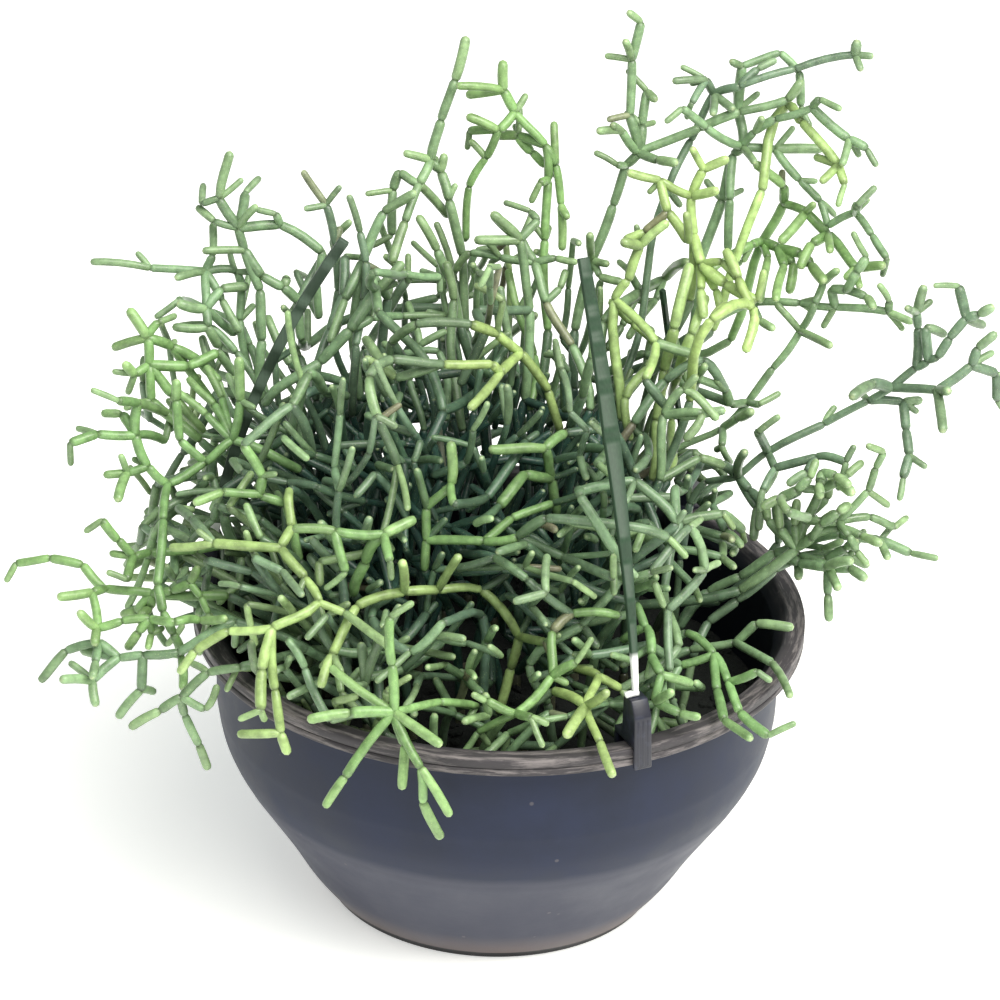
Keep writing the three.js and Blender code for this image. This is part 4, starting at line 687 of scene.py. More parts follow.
class SeededStream:
    """A steady stream of numbers from 0 to 1, the same in every run."""

    def __init__(self, seed: int) -> None:
        """Starts the stream from its seed."""
        self.state = seed & WORD

    def next(self) -> float:
        """The next number of the stream.

        Returns:
            A number from 0 to 1.
        """
        first, second, third = STREAM_SHIFTS
        self.state = (self.state + STREAM_STEP) & WORD
        t = ((self.state ^ (self.state >> first)) * (1 | self.state)) & WORD
        t = ((t + (((t ^ (t >> second)) * (STREAM_SPREAD | t)) & WORD)) & WORD) ^ t
        return ((t ^ (t >> third)) & WORD) / (WORD + 1)

    def between(self, low: float, high: float) -> float:
        """A number from low to high."""
        return low + (high - low) * self.next()

    def direction(self) -> Point:
        """A random direction, even over the sphere.

        Returns:
            The direction, with length 1.
        """
        while True:
            vector = np.array([self.next() * 2 - 1, self.next() * 2 - 1, self.next() * 2 - 1])
            size = math.sqrt(float(vector @ vector))
            if LEAST_LENGTH < size < 1:
                return vector / size


@dataclass
class Pot:
    """The round plastic pot: a bowl with a crease half-way up and a broad flat rim.

    The bowl's bends are outer radii and heights from the foot up, in millimetres.
    """

    rim_radius: float = 100.0
    height: float = 101.6
    rim_band: float = 5.9
    rim_lip: float = 6.3
    wall: float = 2.5
    foot_radius: float = 55.8
    floor: float = 2.6
    bowl: tuple[Pair, ...] = (
        (63.6, 11.5), (70.9, 23.9), (78.9, 36.4), (86.5, 47.8), (91.2, 59.3), (92.3, 71.8))
    drain_count: int = 4
    drain_radius: float = 4.0
    drain_circle: float = 32.0
    around: int = 144

    @property
    def inner_radius(self) -> float:
        """The radius of the bare inner wall under the rim."""
        return self.bowl[-1][0] - self.wall

    @property
    def inner_bowl(self) -> Line:
        """The inner wall's bends, one for every second bend outside."""
        return [(reach - self.wall, z) for reach, z in self.bowl[1::2]]


@dataclass
class Soil:
    """The potting mix that fills the pot, lowest at its edge."""

    pot: Pot
    edge: float = 66.0
    crown: float = 70.0
    gap: float = 0.35

    @property
    def radius(self) -> float:
        """The radius of the soil's surface where it meets the wall."""
        (low_bend, low_height), (top_bend, top_height) = self.pot.inner_bowl[-2:]
        share = (self.edge - low_height) / (top_height - low_height)
        return low_bend + (top_bend - low_bend) * share - self.gap

    def height(self, reach: float | Point) -> float | Point:
        """The height of the surface at a distance from the pot's axis."""
        return self.crown - (self.crown - self.edge) * np.minimum(np.asarray(reach) / self.radius, 1)


@dataclass
class Hanger:
    """One clip on the rim, with the cut-off strap that stands on it.

    The bearing turns from the front towards the right. The strap's bend and end are
    distances from the pot's axis and heights, in millimetres.
    """

    name: str
    bearing: float
    width: float
    tip: float
    thick: float
    bend: Pair
    end: Pair
    clip_width: float = 6.0
    clip_leg: float = 2.0
    clip_tower: float = 10.0
    clip_top: float = 117.5
    clip_front: float = 112.5
    clip_lean: float = 1.8
    clip_slope: float = 3.0
    clip_drop: float = 6.5
    wall_gap: float = 0.4
    rim_gap: float = 0.35
    seat_gap: float = 0.3
    inset: float = 5.3
    strap_steps: int = 10
    strap_foot: float = 1.6
    strap_flare: float = 78.0
    strap_room: float = 2.6
    tower_room: float = 5.8
    hook_room: float = 7.0

    def at(self, reach: float, z: float) -> Point:
        """A place on this bearing, at a distance from the pot's axis."""
        turn = math.radians(self.bearing)
        return np.array([reach * math.sin(turn), -reach * math.cos(turn), z])

    def strap_width(self, z: float) -> float:
        """The strap's width at a height: narrow at its foot, broadest partway up.

        Args:
            z: The height.

        Returns:
            The width in millimetres.
        """
        start = self.clip_top + self.seat_gap
        broad = start + self.strap_flare
        if z < broad:
            return self.strap_foot + (self.width - self.strap_foot) * (z - start) / self.strap_flare
        return self.width + (self.tip - self.width) * (z - broad) / (self.end[1] - broad)

    def strap_line(self, pot: Pot, steps: int) -> Line:
        """The strap's middle line in its own radial plane.

        Args:
            pot: The pot that it hangs on.
            steps: How many steps the line has.

        Returns:
            Distances from the pot's axis, with heights.
        """
        start = np.array([pot.rim_radius - self.inset, self.clip_top + self.seat_gap])
        line = []
        for i in range(steps + 1):
            t = i / steps
            place = (start * (1 - t) ** 2 + np.array(self.bend) * (2 * (1 - t) * t)
                     + np.array(self.end) * t * t)
            line.append((float(place[0]), float(place[1])))
        return line


class Joint:
    """A joint of a stem, known by itself and not by its place."""

    __slots__ = ("place", "key")
    count = 0

    def __init__(self, place: Point) -> None:
        """Marks a new joint at a place."""
        self.place = place
        Joint.count += 1
        self.key = Joint.count


@dataclass
class Run:
    """A run of joints with one radius. The front view shows it from its joint seen_from on."""

    radius: float
    joints: list[Joint]
    fine: bool = False
    seen_from: int | None = None


@dataclass
class Spray:
    """Everything that grows from one root."""

    name: str
    tint: Tint
    runs: list[Run] = field(default_factory=list)

    @property
    def node(self) -> str:
        """The name of the spray's solid."""
        return f"spray_{self.name}"


class Clutter:
    """Everything that a new stem has to clear, as capsules."""

    def __init__(self, room: int = 9000) -> None:
        """Makes room for that many capsules.

        Args:
            room: The most capsules that it can hold.
        """
        self.a = np.zeros((room, 3))
        self.b = np.zeros((room, 3))
        self.radius = np.zeros(room)
        self.owner = np.zeros(room, int)
        self.key_a = np.zeros(room, int)
        self.key_b = np.zeros(room, int)
        self.middle = np.zeros((room, 3))
        self.size = 0
        self.owners: dict[str, int] = {}

    def owner_of(self, name: str) -> int:
        """The number of an owner, new or known."""
        return self.owners.setdefault(name, len(self.owners) + 1)

    def add(self, a: Joint, b: Joint, radius: float, owner: str) -> None:
        """Adds the capsule from a to b.

        Args:
            a: Its first joint.
            b: Its last joint.
            radius: Its radius.
            owner: The spray or the hanger that it belongs to.
        """
        i = self.size
        self.a[i], self.b[i] = a.place, b.place
        self.radius[i] = radius
        self.owner[i] = self.owner_of(owner)
        self.key_a[i], self.key_b[i] = a.key, b.key
        self.middle[i] = (a.place + b.place) * 0.5
        self.size += 1

    def least_gap(self, start: Joint, end: Point, radius: float, owner: str, ease: float) -> float:
        """The least gap from a new segment to the capsules.

        Args:
            start: The joint that it starts at, whose own segments don't count.
            end: The place that it ends at.
            radius: Its radius.
            owner: The spray that it belongs to.
            ease: What its own spray allows.

        Returns:
            The gap in millimetres.
        """
        n = self.size
        if n == 0:
            return math.inf
        c, d = self.a[:n], self.b[:n]
        ab = end - start.place
        cd = d - c
        ca = start.place - c
        abab = float(ab @ ab)
        cdcd = np.einsum("ij,ij->i", cd, cd)
        abcd = cd @ ab
        abca = ca @ ab
        cdca = np.einsum("ij,ij->i", cd, ca)
        spread = abab * cdcd - abcd * abcd
        is_askew = spread > PARALLEL
        s = np.where(is_askew, (abcd * cdca - abca * cdcd) / np.where(is_askew, spread, 1), 0)
        s = np.clip(s, 0, 1)
        t = np.clip((abcd * s + cdca) / cdcd, 0, 1)
        s = np.clip((abcd * t - abca) / abab, 0, 1)
        apart = ca + s[:, None] * ab - t[:, None] * cd
        gaps = np.sqrt(np.einsum("ij,ij->i", apart, apart)) - radius - self.radius[:n]
        own = self.owner[:n] == self.owner_of(owner)
        gaps = gaps + np.where(own, ease, 0)
        shared = own & ((self.key_a[:n] == start.key) | (self.key_b[:n] == start.key))
        gaps[shared] = math.inf
        return float(gaps.min())

    def crowd_at(self, place: Point, reach: float) -> int:
        """How many capsules lie within reach of a place."""
        away = self.middle[:self.size] - place
        return int((np.einsum("ij,ij->i", away, away) < reach * reach).sum())


def box_gap(reach: Point, z: Point, box: tuple[float, float, float, float]) -> Point:
    """The distances from places in the pot's section to a box in it.

    Args:
        reach: The places' distances from the pot's axis.
        z: Their heights.
        box: The nearest and farthest distance, then the lowest and highest height.

    Returns:
        One distance for each place, 0 inside the box.
    """
    near, far, low, high = box
    dr = np.maximum(np.maximum(near - reach, reach - far), 0)
    dz = np.maximum(np.maximum(low - z, z - high), 0)
    return np.sqrt(dr * dr + dz * dz)


def half_up(value: float) -> int:
    """The nearest whole number, with halves going up."""
    return math.floor(value + 0.5)


@dataclass(frozen=True)
class Heap:
    """A rounded heap of stems that fine branches fill, thinning towards its edge.

    The centre, the radii and every length are millimetres.
    """

    centre: tuple[float, float, float] = (-16.0, 0.0, 104.0)
    radii: tuple[float, float, float] = (108.0, 92.0, 78.0)
    core: float = 0.6
    core_crowd: float = 18.0
    edge_crowd: float = 7.0
    lowest_start: float = 70.0
    budget: int = 3500
    clear: float = 0.35
    joints: tuple[int, int] = (2, 4)
    lengths: Pair = (14.0, 23.0)
    twig_lengths: Pair = (7.0, 14.0)
    keep: float = 0.8
    outward: float = 0.55
    rise: float = 0.4
    droop: float = 0.25
    droop_reach: float = 78.0
    spread: float = 0.36
    forks: tuple[float, ...] = (0.85, 0.3)
    thin_share: float = 0.35
    rim_reach: float = 90.0
    rim_height: float = 104.0

    def _share(self, place: Point) -> float:
        """How far out a place lies, from 0 at the centre to 1 at the edge."""
        q = (place - np.array(self.centre)) / np.array(self.radii)
        return math.sqrt(float(q @ q))

    def holds(self, place: Point) -> bool:
        """Whether a place is inside the heap."""
        bare = place[0] > BARE_WALL[0] and place[1] > BARE_WALL[1] and place[2] < BARE_WALL[2]
        hanging = math.hypot(place[0], place[1]) > self.rim_reach and place[2] < self.rim_height
        return self._share(place) < 1 and not bare and not hanging

    def crowd_limit(self, place: Point) -> float:
        """How many segments may lie close to a place where a branch starts, and 0 if none may.

        Args:
            place: The place.

        Returns:
            The number of segments.
        """
        if not self.holds(place) or place[2] < self.lowest_start:
            return 0
        edge = min(max((self._share(place) - self.core) / (1 - self.core), 0.0), 1.0)
        return self.core_crowd + (self.edge_crowd - self.core_crowd) * edge

    def lead(self, place: Point, heading: Point) -> Point:
        """The way that a branch tends to go on: upwards and outwards, drooping outside.

        Args:
            place: Where the branch is.
            heading: The way that it came.

        Returns:
            The way, with length 1.
        """
        out = place - np.array(self.centre)
        reach = math.hypot(out[0], out[1])
        rise = self.rise if reach < self.droop_reach else -self.droop
        outward = np.array([out[0], out[1], 0.0]) / max(reach, 1.0)
        return unit(heading * self.keep + outward * self.outward + np.array([0.0, 0.0, rise]))


class Plant:
    """The whole plant's layout: traced sprays first, then those grown by rule."""

    def __init__(self, view: PhotoView, pot: Pot, soil: Soil, hangers: list[Hanger]) -> None:
        """Sets out the pot, the soil and the hangers that the stems keep clear of.

        Args:
            view: The view that the stems were seen in.
            pot: The pot.
            soil: Its soil.
            hangers: The clips with their straps.
        """
        self.view = view
        self.pot = pot
        self.soil = soil
        self.stream = SeededStream(SEED)
        self.clutter = Clutter()
        self.sprays: list[Spray] = []
        self.ways: dict[int, list[Point]] = {}
        self.shown = np.zeros((0, 2, 3))
        self.known: dict[str, dict[Pair, tuple[Joint, float]]] = {}
        self.across, self.along, self.sight = view.axes()
        self.wall_box = (pot.inner_radius - BOX_MARGIN, pot.inner_radius + pot.wall + BOX_MARGIN,
                         0.0, pot.height - pot.rim_band)
        self.rim_box = (pot.inner_radius, pot.rim_radius, pot.height - pot.rim_band, pot.height)
        for hanger in hangers:
            self._keep_clear_of(hanger)
        self.spots = self._root_spots()
        self.root_spots: dict[str, Pair] = {}
        self.own_clear = OWN_CLEAR
        self.clear = CLEAR

    def _keep_clear_of(self, hanger: Hanger) -> None:
        """Adds a hanger's strap, tower and hook to the clutter.

        Args:
            hanger: The hanger.
        """
        pot = self.pot
        line = [Joint(hanger.at(*place)) for place in hanger.strap_line(pot, hanger.strap_steps)]
        for a, b in zip(line, line[1:]):
            self.clutter.add(a, b, hanger.strap_room, "hanger")
        middle = pot.rim_radius + hanger.rim_gap + hanger.clip_leg - hanger.clip_tower / 2
        foot = Joint(hanger.at(middle, pot.height - hanger.clip_drop))
        top = Joint(hanger.at(middle, hanger.clip_top))
        self.clutter.add(foot, top, hanger.tower_room, "hanger")
        hook_height = pot.height - pot.rim_band / 3
        inner = Joint(hanger.at(pot.inner_radius + pot.wall, hook_height))
        outer = Joint(hanger.at(pot.rim_radius, hook_height))
        self.clutter.add(inner, outer, hanger.hook_room, "hanger")

    @staticmethod
    def _root_spots() -> Line:
        """Root spots in a sunflower pattern, each to be taken once.

        Returns:
            Each spot's distances to the right and to the back of the pot's axis.
        """
        spots = []
        for k in range(SPOT_COUNT):
            reach = SPOT_RADIUS * math.sqrt((k + 0.5) / SPOT_COUNT)
            spots.append((reach * math.cos(k * GOLDEN_TURN), reach * math.sin(k * GOLDEN_TURN)))
        return spots

    def _take_spot(self, x: float, y: float) -> Pair:
        """Takes the free root spot nearest to a place."""
        best = min(range(len(self.spots)),
                   key=lambda i: (self.spots[i][0] - x) ** 2 + (self.spots[i][1] - y) ** 2)
        return self.spots.pop(best)

    def pot_gap(self, a: Point, b: Point) -> float:
        """The least distance from a segment to the pot and its soil.

        Args:
            a: One end of the segment.
            b: Its other end.

        Returns:
            The distance in millimetres.
        """
        steps = math.ceil(math.sqrt(float((b - a) @ (b - a))) / GAP_SAMPLE)
        share = np.arange(steps + 1)[:, None] / steps
        places = a + (b - a) * share
        reach = np.hypot(places[:, 0], places[:, 1])
        z = places[:, 2]
        least = min(float(box_gap(reach, z, self.wall_box).min()),
                    float(box_gap(reach, z, self.rim_box).min()))
        inside = reach < self.pot.inner_radius
        if inside.any():
            least = min(least, float((z - self.soil.height(reach))[inside].min()))
        return least

    def gap_around(self, start: Joint, end: Point, radius: float, owner: str) -> float:
        """How far a new segment stays from everything else."""
        ease = self.clear - self.own_clear
        return min(self.pot_gap(start.place, end) - radius,
                   self.clutter.least_gap(start, end, radius, owner, ease))

    def _add_run(self, spray: Spray, radius: float, joints: list[Joint], fine: bool = False,
                 seen_from: int | None = None) -> None:
        """Adds a run to a spray and to what later stems have to clear.

        Args:
            spray: The spray.
            radius: The run's radius.
            joints: Its joints.
            fine: Whether the solids leave it out.
            seen_from: The number of its first joint that the front view shows.
        """
        spray.runs.append(Run(radius, joints, fine, seen_from))
        for a, b in zip(joints, joints[1:]):
            self.clutter.add(a, b, radius, spray.name)
            self.ways.setdefault(a.key, []).append(unit(b.place - a.place))
            self.ways.setdefault(b.key, []).append(unit(a.place - b.place))

    @staticmethod
    def _rising(top: Point, goal: Point, sway: Point) -> list[Point]:
        """The joints of a stem that rises out of the soil and bends over to a place.

        Args:
            top: Where it leaves the soil.
            goal: The place that it reaches.
            sway: How far its bend is moved aside.

        Returns:
            The places of its joints.
        """
        knee = top + (goal - top) * KNEE_SHARE
        knee[2] = top[2] + max((goal[2] - top[2]) * KNEE_LIFT, KNEE_LEAST)
        knee = knee + sway
        count = max(2, half_up(float(np.linalg.norm(goal - top)) / HIDDEN_JOINT))
        joints = []
        for i in range(1, count):
            t = i / count
            joints.append(top * (1 - t) ** 2 + knee * (2 * (1 - t) * t) + goal * t * t)
        return [*joints, goal]

    def _chain_gap(self, start: Point, joints: list[Point], radius: float, owner: str) -> float:
        """The least gap along a chain of joints.

        Args:
            start: The place that it starts at.
            joints: The places of its joints.
            radius: Its radius.
            owner: The spray that it belongs to.

        Returns:
            The gap in millimetres.
        """
        least = math.inf
        here = Joint(start)
        for place in joints:
            least = min(least, self.gap_around(here, place, radius, owner))
            here = Joint(place)
        return least

    @staticmethod
    def _depth_offsets() -> list[float]:
        """The depth offsets to try, nearest first.

        Returns:
            The offsets in millimetres.
        """
        offsets = [0.0]
        for k in range(1, DEPTH_TRIES // 2 + 1):
            offsets += [k * DEPTH_STEP, -k * DEPTH_STEP]
        return offsets

    @staticmethod
    def _sways() -> list[Point]:
        """The sideways bends to try on a hidden stem.

        Returns:
            The bends, no bend first.
        """
        sways = [np.zeros(3)]
        for k in range(SWAY_COUNT):
            turn = k * GOLDEN_TURN
            size = SWAY_FIRST + k * SWAY_STEP
            sways.append(np.array([size * math.cos(turn), size * math.sin(turn), 0.0]))
        return sways

    def _place_joint(self, start: Joint, px: float, py: float, depth: float, radius: float,
                     owner: str) -> Joint:
        """Places one traced joint, moved in depth alone until its segment is clear.

        Args:
            start: The joint before it.
            px: The pixel's column.
            py: The pixel's row.
            depth: The depth to try first.
            radius: The stem's radius.
            owner: The spray that it belongs to.

        Returns:
            The joint, at the widest gap when no place is clear.
        """
        best, best_gap = None, -math.inf
        for offset in self._depth_offsets():
            place = self.view.seen_at(px, py, depth + offset)
            gap = self.gap_around(start, place, radius, owner)
            if gap >= self.clear:
                return Joint(place)
            if gap > best_gap:
                best, best_gap = place, gap
        return Joint(best)

    def _claim_roots(self) -> None:
        """Claims each traced spray's root spot, from the middle of the pot outwards."""
        claims = []
        for name, _, runs in TRACED:
            first = runs[0]
            aim = self.view.seen_at(first.pixels[0], first.pixels[1], first.from_depth) * ROOT_PULL
            claims.append((math.hypot(aim[0], aim[1]), name, aim))
        claims.sort(key=lambda claim: claim[0])
        for _, name, aim in claims:
            self.root_spots[name] = self._take_spot(float(aim[0]), float(aim[1]))

    def _root_stem(self, spray: Spray, px: float, py: float, depth: float,
                   radius: float) -> list[Joint]:
        """Roots a spray in the soil and takes it up to its first traced joint.

        Args:
            spray: The spray.
            px: The first joint's column.
            py: The first joint's row.
            depth: The depth to try first.
            radius: The stem's radius.

        Returns:
            The stem's joints, from the soil up.
        """
        x, y = self.root_spots[spray.name]
        ground = float(self.soil.height(math.hypot(x, y)))
        low = Joint(np.array([x, y, ground - ROOT_DEPTH]))
        top = Joint(np.array([x, y, ground + NECK]))
        best, best_gap = None, -math.inf
        for offset in self._depth_offsets():
            goal = self.view.seen_at(px, py, depth + offset)
            for sway in self._sways():
                places = self._rising(top.place, goal, sway)
                gap = self._chain_gap(top.place, places, radius, spray.name)
                if gap > best_gap:
                    best, best_gap = places, gap
                if gap >= self.clear:
                    return [low, top, *(Joint(place) for place in places)]
        return [low, top, *(Joint(place) for place in best)]

    def lay_traced(self) -> None:
        """Builds every traced spray, joint by joint."""
        self._claim_roots()
        shown: list[tuple[Point, Point]] = []
        for name, tint, runs in TRACED:
            spray = Spray(name, tint)
            self.sprays.append(spray)
            for run in runs:
                shown += self._lay_run(spray, run)
        self.shown = self.view.pixels_of(np.array(shown))

    def lay_details(self) -> None:
        """Adds the twigs that the front view shows and the solids leave out."""
        shown: list[tuple[Point, Point]] = []
        for spray in self.sprays:
            for run in DETAILS.get(spray.name, []):
                shown += self._lay_run(spray, run)
        self.shown = np.concatenate([self.shown, self.view.pixels_of(np.array(shown))])

    def _lay_run(self, spray: Spray, run: TracedRun) -> list[tuple[Point, Point]]:
        """Builds one traced run.

        Args:
            spray: The spray that it belongs to.
            run: What was seen of it.

        Returns:
            The ends of the segments that the front view shows.
        """
        known = self.known.setdefault(spray.name, {})
        pixels = list(zip(run.pixels[::2], run.pixels[1::2]))
        start = known.get(pixels[0])
        if start:
            joints, first_depth = [start[0]], start[1]
        else:
            first_depth = run.from_depth
            joints = self._root_stem(spray, *pixels[0], first_depth, run.radius)
        hidden = len(joints) - 1
        drift = float((joints[-1].place - np.array(self.view.aim)) @ self.sight) - first_depth
        known[pixels[0]] = (joints[-1], first_depth)
        for i, (px, py) in enumerate(pixels[1:], start=1):
            share = i / (len(pixels) - 1)
            depth = first_depth + (run.to_depth - first_depth) * share + drift * (1 - share)
            joint = self._place_joint(joints[-1], px, py, depth, run.radius, spray.name)
            joints.append(joint)
            known[(px, py)] = (joint, depth)
        self._add_run(spray, run.radius, joints, seen_from=hidden)
        seen = [joint.place for joint in joints[hidden:]]
        return list(zip(seen, seen[1:]))

    @staticmethod
    def in_mound(place: Point) -> bool:
        """Whether a place is inside the mound of stems, and clear of the bare inner wall."""
        q = (place - MOUND_CENTRE) / MOUND_RADII
        bare = place[0] > BARE_WALL[0] and place[1] > BARE_WALL[1] and place[2] < BARE_WALL[2]
        return float(q @ q) < 1 and not bare

    def _hides_traced(self, start: Point, end: Point) -> bool:
        """Whether a segment would pass in front of a stem that the front view shows.

        Args:
            start: One end of the segment.
            end: Its other end.

        Returns:
            True if it would.
        """
        share = np.array(COVER_SHARES)[:, None]
        mine = self.view.pixels_of(start + (end - start) * share)[:, None]
        first, last = self.shown[:, 0], self.shown[:, 1]
        run = last - first
        flat = run[:, :2]
        along = ((mine[..., :2] - first[:, :2]) * flat).sum(-1) / (flat * flat).sum(-1)
        nearest = first + run * np.clip(along, 0, 1)[..., None]
        apart = np.hypot(mine[..., 0] - nearest[..., 0], mine[..., 1] - nearest[..., 1])
        in_front = mine[..., 2] < nearest[..., 2] - COVER_DEPTH
        return bool(((apart < COVER_REACH) & in_front).any())

    def _next_joint(self, start: Joint, heading: Point, lengths: Pair, spread: float, radius: float,
                    owner: str) -> Joint | None:
        """The next joint of a stem grown by rule, or None when nothing is clear.

        Args:
            start: The joint before it.
            heading: The way that the stem goes.
            lengths: The least and greatest length of a segment.
            spread: How far the way may stray.
            radius: The stem's radius.
            owner: The spray that it belongs to.

        Returns:
            The joint or None.
        """
        for _ in range(SHOOT_TRIES):
            length = self.stream.between(*lengths)
            way = unit(heading + self.stream.direction() * spread)
            place = start.place + way * length
            if (self.in_mound(place) and not self._hides_traced(start.place, place)
                    and self.gap_around(start, place, radius, owner) >= self.clear):
                return Joint(place)
        return None

    def lay_fillers(self) -> None:
        """Roots the sprays that are grown by rule: long leaders that lean outwards."""
        for name in FILLER_NAMES:
            spray = Spray(name, Tint.DEEP)
            x, y = self.spots.pop(0)
            ground = float(self.soil.height(math.hypot(x, y)))
            joints = [Joint(np.array([x, y, ground - ROOT_DEPTH])),
                      Joint(np.array([x, y, ground + NECK]))]
            lean = unit(np.array([x / SPOT_RADIUS, y / SPOT_RADIUS, LEADER_RISE]))
            for _ in range(LEADER_JOINTS):
                joint = self._next_joint(joints[-1], lean, LEADER_LENGTHS, LEADER_SPREAD, PENCIL,
                                         spray.name)
                if joint is None:
                    break
                joints.append(joint)
            self.sprays.append(spray)
            self._add_run(spray, PENCIL, joints)

    def _start(self, spray: Spray, tries: int, reach: float,
               limit_at: Callable[[Point], float]) -> tuple[Joint, Joint] | None:
        """The least crowded of a few random joints of a spray.

        Args:
            spray: The spray.
            tries: How many joints to try.
            reach: How far around a joint its crowd is counted.
            limit_at: Gives how crowded a place may be, and 0 where nothing may start.

        Returns:
            The joint and the one before it, or None.
        """
        best, best_crowd = None, 0
        for _ in range(tries):
            run = spray.runs[int(self.stream.next() * len(spray.runs))]
            index = 1 + int(self.stream.next() * (len(run.joints) - 1))
            start = run.joints[index]
            limit = limit_at(start.place)
            if not limit or (run is spray.runs[0] and index < 2):
                continue
            crowd = self.clutter.crowd_at(start.place, reach)
            if crowd < limit and (best is None or crowd < best_crowd):
                best, best_crowd = (start, run.joints[index - 1]), crowd
        return best

    def _mound_limit(self, place: Point) -> float:
        """How crowded a place may be where a side shoot starts."""
        return math.inf if self.in_mound(place) else 0

    def _grow_shoot(self, spray: Spray) -> int:
        """Adds one zigzag side shoot to a spray, and tells how many segments it has.

        Args:
            spray: The spray.

        Returns:
            How many segments the shoot has.
        """
        found = self._start(spray, START_TRIES, CROWD_REACH, self._mound_limit)
        if not found:
            return 0
        start, before = found
        joints = [start]
        heading = unit(start.place - before.place)
        fewest, most = SHOOT_JOINTS
        count = fewest + int(self.stream.next() * (most - fewest + 1))
        for _ in range(count):
            joint = self._next_joint(joints[-1], heading, SHOOT_LENGTHS, SHOOT_SPREAD, PENCIL,
                                     spray.name)
            if joint is None:
                break
            heading = unit(joint.place - joints[-1].place)
            joints.append(joint)
        if len(joints) > 1:
            self._add_run(spray, PENCIL, joints)
        return len(joints) - 1

    def grow_shoots(self) -> None:
        """Grows the side shoots that the solids have."""
        count = self.clutter.size
        for turn in range(TURN_LIMIT):
            if count >= SEGMENT_BUDGET:
                break
            count += self._grow_shoot(self.sprays[turn % len(self.sprays)])

    def _branch_joint(self, start: Joint, heading: Point, lengths: Pair, spread: float, heap: Heap,
                      owner: str) -> Joint | None:
        """The next joint of a branch, apart from the stems that already meet there, or None.

        Args:
            start: The joint before it.
            heading: The way that the branch goes.
            lengths: The least and greatest length of a segment.
            spread: How far the way may stray.
            heap: The heap that it stays in.
            owner: The spray that it belongs to.

        Returns:
            The joint or None.
        """
        for _ in range(BRANCH_TRIES):
            way = unit(heading + self.stream.direction() * spread)
            place = start.place + way * self.stream.between(*lengths)
            if any(float(way @ other) > SIBLING_COSINE for other in self.ways.get(start.key, [])):
                continue
            if (heap.holds(place) and not self._hides_traced(start.place, place)
                    and not self._fills_clearing(start.place, place)
                    and self.gap_around(start, place, THIN, owner) >= self.clear):
                return Joint(place)
        return None

    def _fills_clearing(self, start: Point, end: Point) -> bool:
        """Whether a segment would pass where the front view looks through the plant.

        Args:
            start: One end of the segment.
            end: Its other end.

        Returns:
            True if it would.
        """
        share = np.array(COVER_SHARES)[:, None]
        mine = self.view.pixels_of(start + (end - start) * share)[:, None, :2]
        gaps = np.array(CLEARINGS)
        return bool((np.linalg.norm(mine - gaps[:, :2], axis=2) < gaps[:, 2]).any())

    def _grow_branch(self, spray: Spray, heap: Heap) -> None:
        """Grows a zigzag branch off one joint of a spray, with a twig at most of its joints.

        Args:
            spray: The spray.
            heap: The heap that it stays in.
        """
        found = self._start(spray, BRANCH_START_TRIES, BRANCH_CROWD_REACH, heap.crowd_limit)
        if not found:
            return
        start, before = found
        heading = unit(start.place - before.place)
        radius = THIN if self.stream.next() < heap.thin_share else PENCIL
        fewest, most = heap.joints
        for _ in range(fewest + int(self.stream.next() * (most - fewest + 1))):
            lead = heap.lead(start.place, heading)
            joint = self._branch_joint(start, lead, heap.lengths, heap.spread, heap, spray.name)
            if joint is None:
                break
            self._add_run(spray, radius, [start, joint], fine=True)
            heading = unit(joint.place - start.place)
            for chance in heap.forks:
                if self.stream.next() < chance:
                    self._add_twig(spray, heap, joint, heading, radius)
            start = joint

    def _add_twig(self, spray: Spray, heap: Heap, joint: Joint, heading: Point, radius: float) -> None:
        """Adds a short twig to a joint, where one is clear."""
        tip = self._branch_joint(joint, heading, heap.twig_lengths, TWIG_SPREAD, heap, spray.name)
        if tip is not None:
            self._add_run(spray, radius, [joint, tip], fine=True)

    def add_outer_twigs(self, heap: Heap) -> None:
        """Adds short twigs to the stems' joints that have room for one.

        Args:
            heap: Where they grow, how long they are, and how often.
        """
        self.clear, self.own_clear = heap.clear, heap.clear
        for spray in self.sprays:
            for run in [run for run in spray.runs if not run.fine]:
                for before, joint in zip(run.joints, run.joints[1:]):
                    if joint.place[2] < heap.lowest_start or len(self.ways[joint.key]) > OUTER_WAYS:
                        continue
                    heading = unit(joint.place - before.place)
                    for chance in heap.forks:
                        if self.stream.next() < chance:
                            self._add_twig(spray, heap, joint, heading, THIN)

    def fill(self, heap: Heap) -> None:
        """Fills a heap with fine branches, which the solids leave out.

        Args:
            heap: Where they grow, how they go on, and how many segments to reach in all.
        """
        self.clear, self.own_clear = heap.clear, heap.clear / 2
        for turn in range(TURN_LIMIT):
            if self.clutter.size >= heap.budget:
                break
            self._grow_branch(self.sprays[turn % len(self.sprays)], heap)


def linear(color: int) -> Color:
    """A colour from its sRGB hex value, as Blender's linear one.

    Args:
        color: The colour, such as 0x7FA35A.

    Returns:
        Red, green, blue and an alpha of 1.
    """
    channels = []
    for shift in CHANNEL_SHIFTS:
        value = ((color >> shift) & CHANNEL_TOP) / CHANNEL_TOP
        if value <= SRGB_KNEE:
            channels.append(value / SRGB_SLOPE)
        else:
            channels.append(((value + SRGB_OFFSET) / (1 + SRGB_OFFSET)) ** SRGB_POWER)
    return channels[0], channels[1], channels[2], 1.0


def rgb(color: int) -> Point:
    """The linear red, green and blue of a colour from its sRGB hex value."""
    return np.array(linear(color)[:3])


def blend(start: Point, end: Point, share: float) -> Point:
    """A colour that lies a share of the way from one to another."""
    return start + (end - start) * share


